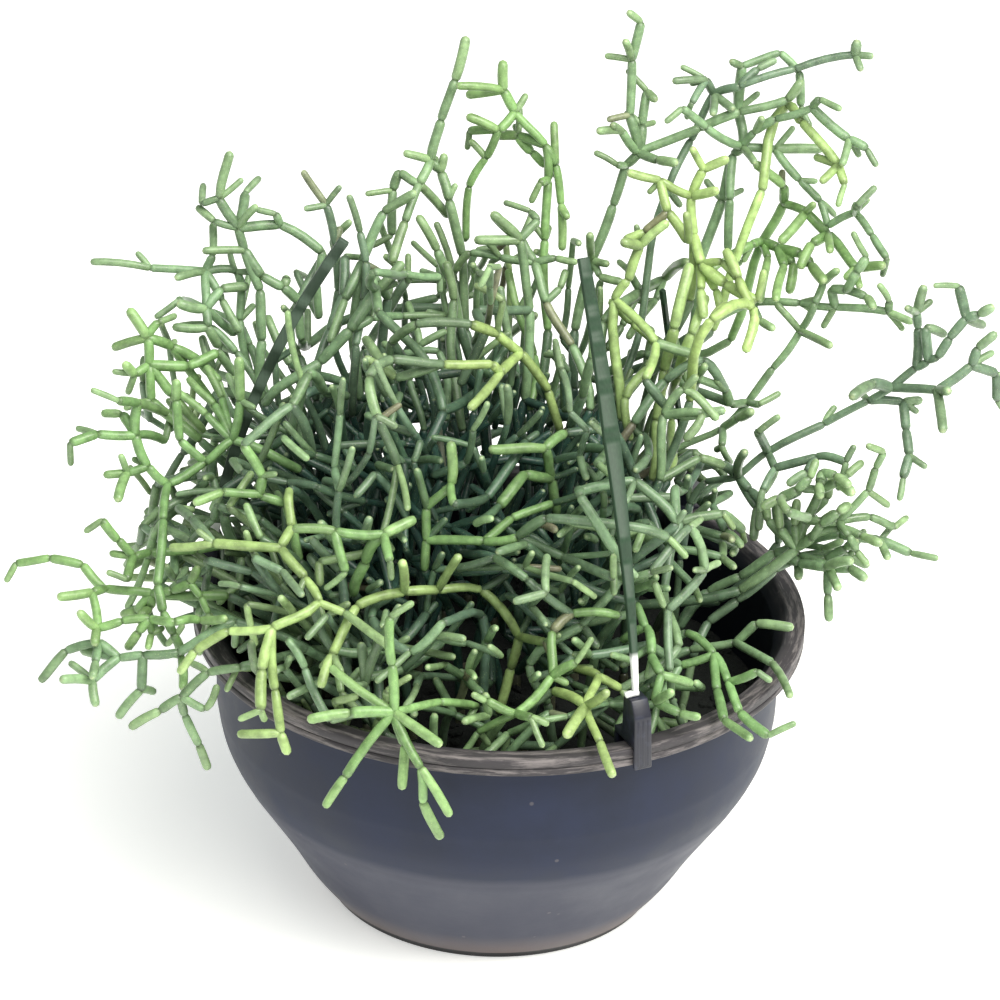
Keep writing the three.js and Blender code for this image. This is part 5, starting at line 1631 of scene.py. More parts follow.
def add_node(tree: NodeTree, kind: str, inputs: dict[str | int, object] | None = None,
             **settings: object) -> Node:
    """Adds a node to a material with its settings and links.

    Args:
        tree: The material's node tree.
        kind: The node's type name, without the word that all shader nodes start with.
        inputs: Its inputs, each a value or another node's output.
        **settings: Its properties.

    Returns:
        The node.
    """
    node = tree.nodes.new(f"ShaderNode{kind}")
    for key, value in settings.items():
        setattr(node, key, value)
    for key, value in (inputs or {}).items():
        if isinstance(value, NodeSocket):
            tree.links.new(value, node.inputs[key])
        else:
            node.inputs[key].default_value = value
    return node


def span(side: str, ends: Pair) -> dict[str, float]:
    """A range node's two inputs on one side, from a range's two ends."""
    return {f"{side} Min": ends[0], f"{side} Max": ends[1]}


def grain(place: NodeSocket, size: float) -> dict[str, object]:
    """A texture node's place and scale, for grains of that many millimetres."""
    return {"Vector": place, "Scale": 1 / (size * MM)}


def relief(bump: Pair) -> dict[str, float]:
    """A bump node's strength and distance, from a strength and a depth in millimetres."""
    return {"Strength": bump[0], "Distance": bump[1] * MM}


def new_material(name: str) -> tuple[Material, NodeTree]:
    """A material with nothing but its output node.

    Args:
        name: Its name.

    Returns:
        The material and its node tree.
    """
    material = bpy.data.materials.new(name)
    material.use_nodes = True
    tree = material.node_tree
    tree.nodes.clear()
    return material, tree


def close_material(tree: NodeTree, shader: Node) -> None:
    """Links a shader to a new output node."""
    add_node(tree, "OutputMaterial", {"Surface": shader.outputs[0]})


def make_object(name: str, bm: BMesh, material: Material | None,
                smooth: bool = True) -> Object:
    """Turns a bmesh into a finished object at the origin.

    Args:
        name: The object's name.
        bm: Its mesh, which is freed.
        material: Its finish.
        smooth: Whether its faces are shaded smooth.

    Returns:
        The linked object.
    """
    mesh = bpy.data.meshes.new(name)
    bm.to_mesh(mesh)
    bm.free()
    if smooth:
        mesh.polygons.foreach_set("use_smooth", [True] * len(mesh.polygons))
    if material:
        mesh.materials.append(material)
    obj = bpy.data.objects.new(name, mesh)
    bpy.context.scene.collection.objects.link(obj)
    return obj


def seat(obj: Object, slot: str, *nodes: str) -> Object:
    """Puts a piece on the pot's body, in the place of its solids.

    Args:
        obj: The piece.
        slot: The record's material slot; not used.
        nodes: The solids that it stands for.

    Returns:
        The piece.
    """
    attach(obj, BODY)
    if nodes:
        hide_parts(*nodes)
    LOG.info("%s: %d faces", obj.name, len(obj.data.polygons))
    return obj


def spin_profile(bm: BMesh, profile: Line, around: int) -> None:
    """Turns a closed or axis-to-axis profile round the pot's axis.

    Args:
        bm: The mesh to fill.
        profile: Distances from the axis and heights, in millimetres.
        around: How many steps the turn has.
    """
    verts = [bm.verts.new((reach * MM, 0.0, z * MM)) for reach, z in profile]
    edges = [bm.edges.new(pair) for pair in zip(verts, verts[1:])]
    bmesh.ops.spin(bm, geom=verts + edges, cent=(0, 0, 0), axis=(0, 0, 1), dvec=(0, 0, 0),
                   angle=math.tau, steps=around, use_merge=True, use_duplicate=False)
    bmesh.ops.remove_doubles(bm, verts=bm.verts, dist=WELD)
    bmesh.ops.recalc_face_normals(bm, faces=bm.faces)


def round_edges(bm: BMesh, edges: list[BMEdge], offset: float) -> None:
    """Rounds some edges off by that many millimetres."""
    bmesh.ops.bevel(bm, geom=edges, offset=offset * MM, affect="EDGES", segments=2, profile=0.5,
                    material=-1)


def rounded_line(points: Line, steps: int) -> Line:
    """A smooth line through its points, with that many steps from each to the next.

    Args:
        points: Distances from the axis, with heights.
        steps: How many steps the line has from each point to the next.

    Returns:
        The line, which ends at the last point.
    """
    places = np.array(points, float)
    padded = np.vstack([2 * places[0] - places[1], places, 2 * places[-1] - places[-2]])
    line = []
    for i in range(len(places) - 1):
        p0, p1, p2, p3 = padded[i:i + 4]
        for k in range(steps):
            t = k / steps
            place = 0.5 * (2 * p1 + (p2 - p0) * t + (2 * p0 - 5 * p1 + 4 * p2 - p3) * t * t
                           + (3 * p1 - p0 - 3 * p2 + p3) * t ** 3)
            line.append((float(place[0]), float(place[1])))
    line.append(points[-1])
    return line


@dataclass(frozen=True)
class MouldedPolypropylene:
    """Injection-moulded polypropylene: a matte skin, scuffed and dusty where it is handled.

    It gives a dull navy body, greyer where it is dusted, with a faint orange-peel gloss. It also carries
    painted light and shade: a lighter lower bowl for the floor's bounce, a dark painted contact shadow
    along the foot, and a darker painted-shade inside that reaches over the rim's inner lip.
    """

    name: str = "moulded_polypropylene"
    body: int = 0x171E31
    dusty: int = 0x242B42
    # Painted floor bounce: the lighter grey of the bowl below the crease
    low: int = 0x3A3C4A
    foot: int = 0x6E625E
    # Painted contact shadow: the near-black of the foot's lowest millimetres
    edge: int = 0x151416
    rim: int = 0x3C393C
    scuff: int = 0x767070
    # Painted shade: a darker navy for the pot's inside and the rim's inner lip
    inside: int = 0x10131B
    rough_range: Pair = (0.42, 0.62)
    shine: float = 0.25
    peel_mm: float = 0.8
    peel_bump: Pair = (0.12, 0.1)
    cloud_mm: float = 30.0
    dust_range: Pair = (0.35, 0.75)
    speck_mm: float = 11.0
    speck_range: Pair = (0.075, 0.045)
    speck_share: float = 0.35
    scuff_mm: float = 2.4
    scuff_range: Pair = (0.48, 0.62)
    scuff_bump: Pair = (0.1, 0.3)
    # How much of the rim's colour stays at the inner lip under the painted shade
    painted_lip_shade_rim_share: float = 0.25
    streak_mm: float = 12.0
    # The height below which the lower bowl takes its painted floor bounce, and how soft each change of
    # colour is
    crease_mm: float = 50.0
    blend_mm: float = 4.0
    foot_mm: float = 14.0
    contact_shadow_mm: float = 3.0
    # Where the painted shade of the rim's inner lip starts, and how wide its blend is
    lip_mm: float = 93.0
    lip_blend_mm: float = 2.5

    def build(self) -> Material:
        """Makes the material, which reads the pot's zone attribute.

        Returns:
            The material.
        """
        material, tree = new_material(self.name)
        place = add_node(tree, "TexCoord").outputs["Object"]
        parts = add_node(tree, "SeparateXYZ", {0: place}).outputs
        height = parts["Z"]
        zone = add_node(tree, "Attribute", attribute_name="zone").outputs["Fac"]
        clouds = add_node(tree, "TexNoise", {**grain(place, self.cloud_mm), "Detail": 5.0,
                                             "Roughness": 0.6}).outputs["Fac"]
        dusting = add_node(tree, "MapRange",
                           {"Value": clouds, **span("From", self.dust_range)}).outputs[0]
        body = add_node(tree, "Mix", {"Factor": dusting, 6: linear(self.body), 7: linear(self.dusty)},
                        data_type="RGBA").outputs[2]
        sway = add_node(tree, "Math", {0: clouds, 1: -self.blend_mm * 2 * MM, 2: height},
                        operation="MULTIPLY_ADD").outputs[0]
        # Painted floor bounce: the bowl turns to the lighter low colour below the crease, then to the
        # foot's brown-grey tone near the bottom
        under_crease = self.crease_mm - self.blend_mm
        for color, start, stop in ((self.low, under_crease, under_crease - self.blend_mm),
                                   (self.foot, self.foot_mm - self.blend_mm, -self.blend_mm)):
            share = add_node(tree, "MapRange",
                             {"Value": sway, **span("From", (start * MM, stop * MM))}).outputs[0]
            body = add_node(tree, "Mix", {"Factor": share, 6: body, 7: linear(color)},
                            data_type="RGBA").outputs[2]
        # Painted contact shadow: the lowest millimetres of the foot turn nearly black
        in_contact_shadow = add_node(tree, "Math", {0: height, 1: self.contact_shadow_mm * MM},
                           operation="LESS_THAN").outputs[0]
        body = add_node(tree, "Mix", {"Factor": in_contact_shadow, 6: body, 7: linear(self.edge)},
                        data_type="RGBA").outputs[2]
        turn = add_node(tree, "Math", {0: parts["Y"], 1: parts["X"]}, operation="ARCTAN2").outputs[0]
        around = add_node(tree, "Math", {0: turn, 1: self.streak_mm * MM},
                          operation="MULTIPLY").outputs[0]
        level = add_node(tree, "VectorMath", {0: place, 1: (1.0, 1.0, 0.0)},
                         operation="MULTIPLY").outputs[0]
        reach = add_node(tree, "VectorMath", {0: level}, operation="LENGTH").outputs["Value"]
        streaks = add_node(tree, "CombineXYZ", {0: around, 1: reach, 2: height}).outputs[0]
        grains = add_node(tree, "TexNoise", {**grain(streaks, self.scuff_mm), "Detail": 8.0,
                                             "Roughness": 0.72}).outputs["Fac"]
        scuffed = add_node(tree, "MapRange",
                           {"Value": grains, **span("From", self.scuff_range)}).outputs[0]
        rim = add_node(tree, "Mix", {"Factor": scuffed, 6: linear(self.rim), 7: linear(self.scuff)},
                       data_type="RGBA").outputs[2]
        # Painted shade: towards its inner lip the rim blends into the dark inside colour
        lip = (self.lip_mm * MM, (self.lip_mm + self.lip_blend_mm) * MM)
        outward = add_node(tree, "MapRange", {"Value": reach, **span("From", lip),
                                              "To Min": self.painted_lip_shade_rim_share}).outputs[0]
        rim = add_node(tree, "Mix", {"Factor": outward, 6: linear(self.inside), 7: rim},
                       data_type="RGBA").outputs[2]
        on_body = add_node(tree, "MapRange", {"Value": zone, **span("From", ON_BODY)}).outputs[0]
        outer = add_node(tree, "Mix", {"Factor": on_body, 6: rim, 7: body}, data_type="RGBA").outputs[2]
        # The pot's inside takes the dark inside colour, which is painted shade
        on_rim = add_node(tree, "MapRange", {"Value": zone, **span("From", ON_RIM)}).outputs[0]
        color = add_node(tree, "Mix", {"Factor": on_rim, 6: linear(self.inside), 7: outer},
                         data_type="RGBA").outputs[2]
        speck = add_node(tree, "TexVoronoi", grain(place, self.speck_mm)).outputs["Distance"]
        dot = add_node(tree, "MapRange", {"Value": speck, **span("From", self.speck_range),
                                          "To Max": self.speck_share}).outputs[0]
        color = add_node(tree, "Mix", {"Factor": dot, 6: color, 7: linear(self.scuff)},
                         data_type="RGBA").outputs[2]
        peel = add_node(tree, "TexNoise", {**grain(place, self.peel_mm), "Detail": 3.0}).outputs["Fac"]
        bump = add_node(tree, "Bump", {**relief(self.peel_bump), "Height": peel}).outputs[0]
        bump = add_node(tree, "Bump",
                        {**relief(self.scuff_bump), "Height": grains, "Normal": bump}).outputs[0]
        rough = add_node(tree, "MapRange", {"Value": clouds, **span("From", NOISE_RANGE),
                                            **span("To", self.rough_range)}).outputs[0]
        shader = add_node(tree, "BsdfPrincipled", {"Base Color": color, "Roughness": rough,
                                                   "Normal": bump, "Specular IOR Level": self.shine})
        close_material(tree, shader)
        return material


@dataclass(frozen=True)
class StemShape:
    """How one stem segment swells between its joints.

    Each station is a share of the segment's length, an offset along it in radii, and a
    size in radii. The first and last stations close the ends.
    """

    sides: int = 8
    stations: tuple[tuple[float, float, float], ...] = (
        (0.0, -0.35, 0.0), (0.0, -0.05, 0.66), (0.0, 0.55, 0.93), (0.27, 0.1, 1.0),
        (0.52, 0.0, 1.01), (0.78, -0.1, 1.0), (1.0, -0.75, 0.97), (1.0, -0.1, 0.72),
        (1.0, 0.26, 0.0))
    fullness: float = 0.98
    top_fullness: float = 1.06
    top_heights: Pair = (140.0, 190.0)
    fine_fullness: float = 0.86
    size_spread: float = 0.08
    lump: float = 0.025
    bow: float = 0.09
    main_smoothing: float = 0.75
    twig_smoothing: float = 0.35
    twig_joints: int = 4
    steepest: float = 0.8


@dataclass(frozen=True)
class StemColors:
    """The colours that a stem passes through as it ages, and the painted shade of stems deep in the
    mound, as sRGB hex values.
    """

    yellow: int = 0x99B26E
    light: int = 0x73965E
    mid: int = 0x74906A
    deep: int = 0x667E64
    young: int = 0x93AA76
    # Painted shade: the dark teal that stems deep in the mound are blended towards
    shaded: int = 0x143836
    corky: int = 0x74705A
    old: int = 0x4A4C3C
    joint: int = 0x35402A
    tip_dot: int = 0xA8B78A
    corky_share: float = 0.012
    value_spread: float = 0.2
    young_share: float = 0.25
    # How far the painted shade goes, for stems hidden in the front view and for stems that it shows
    shade_share: float = 0.9
    seen_shade_share: float = 0.15
    joint_share: float = 0.5
    joint_light: float = 0.9
    tip_light: float = 1.15
    fine_share: float = 0.6
    hidden_share: float = 0.9
    warmth: float = 0.035
    warm: tuple[float, float, float] = (1.0, 0.4, -0.6)
    # Where in the mound the painted shade starts, and over how much it deepens
    shade_from: float = 0.95
    shade_over: float = 0.45
    old_below: float = 86.0
    old_over: float = 16.0
    old_reach: float = 90.0
    corky_least: float = 0.4

    def of(self, tint: Tint) -> Point:
        """The linear colour of a tint."""
        return rgb(getattr(self, tint.value))


@dataclass
class Segment:
    """One segment between two joints, ready for its skin."""

    start: Point
    end: Point
    leave: Point
    arrive: Point
    radius: float
    color: Point
    is_tip: bool


class StemMaker:
    """Gives every spray of the plant its rounded, jointed stems."""

    def __init__(self, shape: StemShape, colors: StemColors, seed: int) -> None:
        """Makes the segment that is copied for every stem.

        Args:
            shape: How a segment swells.
            colors: The stems' colours.
            seed: The seed of the small differences between segments.
        """
        self.shape = shape
        self.colors = colors
        self.random = np.random.default_rng(seed)
        self.template = self._make_template()
        coords = np.empty(len(self.template.vertices) * 3)
        self.template.vertices.foreach_get("co", coords)
        coords = coords.reshape(-1, 3)
        self.station = np.rint(coords[:, 2]).astype(int)
        self.angle = np.arctan2(coords[:, 1], coords[:, 0])

    def _make_template(self) -> Mesh:
        """Makes one closed segment whose heights are its station numbers.

        Returns:
            The mesh, with a pole at each end.
        """
        bm = bmesh.new()
        bmesh.ops.create_circle(bm, segments=self.shape.sides, radius=1.0)
        ring = list(bm.edges)
        for _ in self.shape.stations[1:]:
            made = bmesh.ops.extrude_edge_only(bm, edges=ring)["geom"]
            verts = [item for item in made if isinstance(item, BMVert)]
            ring = [item for item in made if isinstance(item, BMEdge)]
            ring = [edge for edge in ring if all(vert in verts for vert in edge.verts)]
            bmesh.ops.translate(bm, verts=verts, vec=(0, 0, 1))
        last = len(self.shape.stations) - 1
        for height in (0, last):
            pole = [vert for vert in bm.verts if round(vert.co.z) == height]
            bmesh.ops.pointmerge(bm, verts=pole, merge_co=(0, 0, height))
        bmesh.ops.recalc_face_normals(bm, faces=bm.faces)
        mesh = bpy.data.meshes.new("stem_segment")
        bm.to_mesh(mesh)
        bm.free()
        return mesh

    def _color(self, spray: Spray, middle: Point, is_tip: bool, is_fine: bool, is_seen: bool,
               warmth: float) -> Point:
        """The colour of one segment, from its age, with painted shade by how deep it lies in the mound.

        Args:
            spray: The spray.
            middle: The segment's middle.
            is_tip: Whether it ends freely.
            is_fine: Whether the solids leave it out.
            is_seen: Whether the front view shows it.
            warmth: The spray's own shift.

        Returns:
            Its linear red, green and blue.
        """
        colors = self.colors
        color = colors.of(spray.tint)
        if not is_seen:
            inner = colors.of(Tint.MID if self.random.random() < 0.5 else Tint.DEEP)
            color = blend(color, inner, colors.fine_share if is_fine else colors.hidden_share)
        if is_tip:
            color = blend(color, rgb(colors.young), colors.young_share)
        color = color * (1 + np.array(colors.warm) * warmth)
        # Painted shade: the deeper a segment lies in the mound, the nearer it comes to the dark teal
        inward = (middle - MOUND_CENTRE) / MOUND_RADII
        depth = (colors.shade_from - math.sqrt(float(inward @ inward))) / colors.shade_over
        depth = float(np.clip(depth, 0, 1)) * (colors.seen_shade_share if is_seen else colors.shade_share)
        color = blend(color, rgb(colors.shaded), depth)
        if middle[2] < colors.old_below and math.hypot(middle[0], middle[1]) < colors.old_reach:
            age = min((colors.old_below - middle[2]) / colors.old_over, 1)
            color = blend(color, rgb(colors.old), age)
        elif self.random.random() < colors.corky_share:
            color = blend(color, rgb(colors.corky), self.random.uniform(colors.corky_least, 1))
        return color * self.random.uniform(1 - colors.value_spread, 1 + colors.value_spread)

    def _segments(self, spray: Spray) -> list[Segment]:
        """Splits a spray into its segments, with their bends, sizes and colours.

        Args:
            spray: The spray.

        Returns:
            One segment for each pair of joints.
        """
        shape = self.shape
        touching: dict[int, int] = {}
        for run in spray.runs:
            for a, b in zip(run.joints, run.joints[1:]):
                touching[a.key] = touching.get(a.key, 0) + 1
                touching[b.key] = touching.get(b.key, 0) + 1
        warmth = float(self.random.uniform(-self.colors.warmth, self.colors.warmth))
        segments = []
        for run in spray.runs:
            is_long = len(run.joints) > shape.twig_joints
            smoothing = shape.main_smoothing if is_long else shape.twig_smoothing
            places = [joint.place for joint in run.joints]
            ways = [unit(b - a) for a, b in zip(places, places[1:])]
            for i, way in enumerate(ways):
                before = unit(way + ways[i - 1]) if i > 0 else way
                after = unit(way + ways[i + 1]) if i + 1 < len(ways) else way
                bow = np.cross(way, self.random.normal(size=3)) * shape.bow
                is_tip = touching[run.joints[i + 1].key] == 1
                is_seen = run.seen_from is not None and i >= run.seen_from
                height = (places[i][2] + places[i + 1][2]) / 2
                full = np.interp(height, shape.top_heights, (shape.fullness, shape.top_fullness))
                size = run.radius * (shape.fine_fullness if run.fine else float(full))
                size *= 1 + float(self.random.uniform(-shape.size_spread, shape.size_spread))
                middle = (places[i] + places[i + 1]) / 2
                color = self._color(spray, middle, is_tip, run.fine, is_seen, warmth)
                segments.append(Segment(
                    places[i], places[i + 1], unit(way + (before - way) * smoothing + bow),
                    unit(way + (after - way) * smoothing - bow), size, color, is_tip))
        return segments

    def _place(self, segments: list[Segment]) -> Point:
        """Works out every vertex of the segments, in metres.

        Args:
            segments: The segments.

        Returns:
            One row of places for each segment.
        """
        shape = self.shape
        stations = np.array(shape.stations)
        start = np.array([s.start for s in segments])[:, None]
        end = np.array([s.end for s in segments])[:, None]
        leave = np.array([s.leave for s in segments])[:, None]
        arrive = np.array([s.arrive for s in segments])[:, None]
        radius = np.array([s.radius for s in segments])[:, None]
        chord = end - start
        length = np.linalg.norm(chord, axis=2, keepdims=True)
        t = stations[None, :, 0, None]
        line = ((2 * t ** 3 - 3 * t ** 2 + 1) * start + (t ** 3 - 2 * t ** 2 + t) * length * leave
                + (3 * t ** 2 - 2 * t ** 3) * end + (t ** 3 - t ** 2) * length * arrive)
        slope = ((6 * t ** 2 - 6 * t) * (start - end) + (3 * t ** 2 - 4 * t + 1) * length * leave
                 + (3 * t ** 2 - 2 * t) * length * arrive)
        slope = slope / np.linalg.norm(slope, axis=2, keepdims=True)
        line = line + slope * (stations[None, :, 1] * radius)[..., None]
        is_flat = np.abs(chord[..., 2:3]) < shape.steepest * length
        level = np.where(is_flat, [[[0.0, 0.0, 1.0]]], [[[1.0, 0.0, 0.0]]])
        side = np.cross(slope, np.broadcast_to(level, slope.shape))
        side = side / np.linalg.norm(side, axis=2, keepdims=True)
        lift = np.cross(slope, side)
        lumps = 1 + self.random.uniform(-shape.lump, shape.lump, (len(segments), len(stations)))
        size = (stations[None, :, 2] * radius * lumps)[..., None]
        across = side[:, self.station] * np.cos(self.angle)[None, :, None]
        upward = lift[:, self.station] * np.sin(self.angle)[None, :, None]
        return (line[:, self.station] + (across + upward) * size[:, self.station]) * MM

    def _paint(self, segments: list[Segment]) -> Point:
        """Works out the colour at every vertex: dark joints, pale dots at free tips.

        Args:
            segments: The segments.

        Returns:
            One row of colours for each segment.
        """
        base = np.array([s.color for s in segments])[:, None]
        tips = np.array([s.is_tip for s in segments])[:, None, None]
        last = len(self.shape.stations) - 1
        near_joint = np.isin(self.station, (0, 1, last - 1, last))[None, :, None]
        dark = blend(base, rgb(self.colors.joint) * self.colors.joint_light, self.colors.joint_share)
        color = np.where(near_joint, dark, base)
        at_tip = tips & (self.station >= last - 1)[None, :, None]
        color = np.where(at_tip, base * self.colors.tip_light, color)
        at_dot = tips & (self.station == last)[None, :, None]
        color = np.where(at_dot, rgb(self.colors.tip_dot), color)
        return np.concatenate([color, np.ones((*color.shape[:2], 1))], axis=2)

    def make(self, spray: Spray, finish: Material) -> Object:
        """Makes one spray's stems.

        Args:
            spray: The spray.
            finish: Its skin.

        Returns:
            The object, one closed segment after another.
        """
        segments = self._segments(spray)
        bm = bmesh.new()
        for _ in segments:
            bm.from_mesh(self.template)
        obj = make_object(f"stems_{spray.name}", bm, finish)
        obj.data.vertices.foreach_set("co", self._place(segments).ravel())
        growth = obj.data.attributes.new("growth", "FLOAT_COLOR", "POINT")
        growth.data.foreach_set("color", self._paint(segments).ravel())
        obj.data.update()
        return obj


@dataclass(frozen=True)
class StemSkin:
    """The waxy skin of a succulent stem: fine pores under a satin cuticle.

    It gives a fresh green that changes softly along the stem, with a narrow highlight.
    """

    name: str
    rough_range: Pair = (0.3, 0.46)
    patch_mm: float = 3.5
    patch_light: Pair = (0.66, 1.3)
    patch_bump: Pair = (0.2, 0.25)
    pore_mm: float = 0.9
    pore_range: Pair = (0.22, 0.1)
    pore_share: float = 0.3
    pore_bump: Pair = (0.15, 0.08)
    translucence: float = 0.08
    glow_color: tuple[float, float, float] = (0.8, 1.0, 0.3)
    glow_mm: float = 1.5
    pale: int = 0xC9D79A

    def build(self) -> Material:
        """Makes the material, which reads the stems' growth attribute.

        Returns:
            The material.
        """
        material, tree = new_material(self.name)
        place = add_node(tree, "TexCoord").outputs["Object"]
        growth = add_node(tree, "Attribute", attribute_name="growth").outputs["Color"]
        patches = add_node(tree, "TexNoise", {**grain(place, self.patch_mm), "Detail": 4.0,
                                              "Roughness": 0.6}).outputs["Fac"]
        shade = add_node(tree, "MapRange", {"Value": patches, **span("From", NOISE_RANGE),
                                            **span("To", self.patch_light)}).outputs[0]
        base = add_node(tree, "Mix", {"Factor": 1.0, 6: growth, 7: shade}, data_type="RGBA",
                        blend_type="MULTIPLY").outputs[2]
        pores = add_node(tree, "TexVoronoi", grain(place, self.pore_mm)).outputs["Distance"]
        pore = add_node(tree, "MapRange", {"Value": pores, **span("From", self.pore_range),
                                           "To Max": self.pore_share}).outputs[0]
        color = add_node(tree, "Mix", {"Factor": pore, 6: base, 7: linear(self.pale)},
                         data_type="RGBA").outputs[2]
        bump = add_node(tree, "Bump", {**relief(self.patch_bump), "Height": patches}).outputs[0]
        bump = add_node(tree, "Bump",
                        {**relief(self.pore_bump), "Height": pores, "Normal": bump}).outputs[0]
        rough = add_node(tree, "MapRange", {"Value": patches, **span("From", NOISE_RANGE),
                                            **span("To", self.rough_range)}).outputs[0]
        shader = add_node(tree, "BsdfPrincipled", {"Base Color": color, "Roughness": rough,
                                                   "Normal": bump, "Subsurface Weight": self.translucence,
                                                   "Subsurface Radius": self.glow_color,
                                                   "Subsurface Scale": self.glow_mm * MM})
        close_material(tree, shader)
        return material


@dataclass
class PotShell:
    """The pot's fine shell: a turned profile with a crease, a grooved rim and drain holes."""

    pot: Pot
    crease: Pair = (84.4, 44.6)
    crease_step: float = 0.5
    foot_edge: float = 1.2
    rim_edge: float = 0.6
    groove_depth: float = 0.45
    groove_width: float = 0.5
    groove_heights: tuple[float, ...] = (98.3,)
    upper_bends: tuple[Pair, ...] = ((87.3, 50.4), (90.2, 57.6), (91.8, 65.6))
    under_rim: float = 0.8
    fillet: float = 0.2
    lip_step: float = 0.4
    foot_step: float = 1.5
    floor_step: float = 3.0
    soft_share: float = 0.3
    zone_slack: float = 0.3
    inner_lip: float = 2.6
    plug_sides: int = 24
    smooth_steps: int = 4

    def _outer_line(self) -> Line:
        """The outside of the bowl, from the foot up to the rim's underside.

        Returns:
            Radii with heights, from the middle of the foot.
        """
        pot = self.pot
        reach, z = self.crease
        low = rounded_line([(pot.foot_radius, self.foot_edge), *pot.bowl[:3],
                            (reach - self.crease_step, z - self.crease_step)], self.smooth_steps)
        top = pot.bowl[-1]
        high = rounded_line([(reach, z + self.crease_step), *self.upper_bends, top,
                             (top[0], pot.height - pot.rim_band - self.under_rim)], self.smooth_steps)
        soft = self.foot_edge * self.soft_share
        return [(0.0, 0.0), (pot.foot_radius - self.foot_edge, 0.0), (pot.foot_radius - soft, soft),
                *low, *high]

    def _rim_line(self) -> Line:
        """The rim's underside, grooved edge, top and inner lip.

        Returns:
            Radii with heights, from the underside inwards.
        """
        pot = self.pot
        under = pot.height - pot.rim_band
        wall = pot.bowl[-1][0]
        edge, soft = self.rim_edge, self.rim_edge * self.soft_share
        line = [(wall + soft, under - soft), (wall + edge + self.fillet, under),
                (pot.rim_radius - edge, under), (pot.rim_radius - soft, under + soft),
                (pot.rim_radius, under + edge)]
        half, deep = self.groove_width / 2, pot.rim_radius - self.groove_depth
        for height in self.groove_heights:
            line += [(pot.rim_radius, height - half), (deep, height - half / 2),
                     (deep, height + half / 2), (pot.rim_radius, height + half)]
        lip = pot.rim_radius - pot.rim_lip
        return line + [(pot.rim_radius, pot.height - edge), (pot.rim_radius - soft, pot.height - soft),
                       (pot.rim_radius - edge, pot.height), (lip + edge, pot.height),
                       (lip + soft, pot.height - soft), (lip - soft, pot.height - edge),
                       (pot.inner_radius + self.lip_step, under + self.under_rim),
                       (pot.inner_radius, under)]

    def _inner_line(self) -> Line:
        """The inner wall and the floor.

        Returns:
            Radii with heights, down to the middle of the floor.
        """
        pot = self.pot
        corner = (pot.foot_radius + 1.0, pot.floor + self.floor_step)
        inner = rounded_line([*reversed(pot.inner_bowl), corner], self.smooth_steps)
        return [*inner, (pot.foot_radius - self.foot_step, pot.floor), (0.0, pot.floor)]

    def _zone(self, mesh: Mesh) -> None:
        """Marks the inside, the rim and the bowl's outside.

        Args:
            mesh: The shell's mesh.
        """
        outer = self._outer_line()
        heights = [z for _, z in outer]
        reaches = [reach for reach, _ in outer]
        under = self.pot.height - self.pot.rim_band
        zones = []
        for vertex in mesh.vertices:
            reach, z = math.hypot(vertex.co.x, vertex.co.y) / MM, vertex.co.z / MM
            if z > under - self.zone_slack:
                is_rim = reach > self.pot.inner_radius + self.inner_lip
                zones.append(RIM_ZONE if is_rim else INSIDE_ZONE)
            else:
                is_outside = float(np.interp(z, heights, reaches)) - reach < self.pot.wall / 2
                zones.append(BODY_ZONE if is_outside or z < 0.5 else INSIDE_ZONE)
        mesh.attributes.new("zone", "FLOAT", "POINT").data.foreach_set("value", zones)

    def _drain_cutter(self) -> Object:
        """The four plugs that the drain holes are cut with.

        Returns:
            The plugs as one object.
        """
        pot = self.pot
        bm = bmesh.new()
        for i in range(pot.drain_count):
            turn = math.radians((i + 0.5) / pot.drain_count * FULL_TURN)
            place = Vector((math.sin(turn), -math.cos(turn), 0)) * (pot.drain_circle * MM)
            bmesh.ops.create_cone(bm, cap_ends=True, segments=self.plug_sides,
                                  radius1=pot.drain_radius * MM, radius2=pot.drain_radius * MM,
                                  depth=pot.floor * 4 * MM, matrix=Matrix.Translation(place))
        return make_object("drain_plugs", bm, None, smooth=False)

    def build(self, finish: Material) -> Object:
        """Makes the pot in its finish and puts it in its solid's place.

        Args:
            finish: The pot's plastic.

        Returns:
            The shell, in place of its solid.
        """
        bm = bmesh.new()
        spin_profile(bm, [*self._outer_line(), *self._rim_line(), *self._inner_line()], self.pot.around)
        shell = make_object("pot_shell", bm, finish)
        plugs = self._drain_cutter()
        cut = shell.modifiers.new("drain_holes", "BOOLEAN")
        cut.operation = "DIFFERENCE"
        cut.solver = "EXACT"
        cut.object = plugs
        bpy.context.view_layer.update()
        done = bpy.data.meshes.new_from_object(shell.evaluated_get(bpy.context.evaluated_depsgraph_get()))
        shell.modifiers.clear()
        shell.data = done
        bpy.data.objects.remove(plugs)
        self._zone(done)
        return seat(shell, "pot_plastic", "pot")


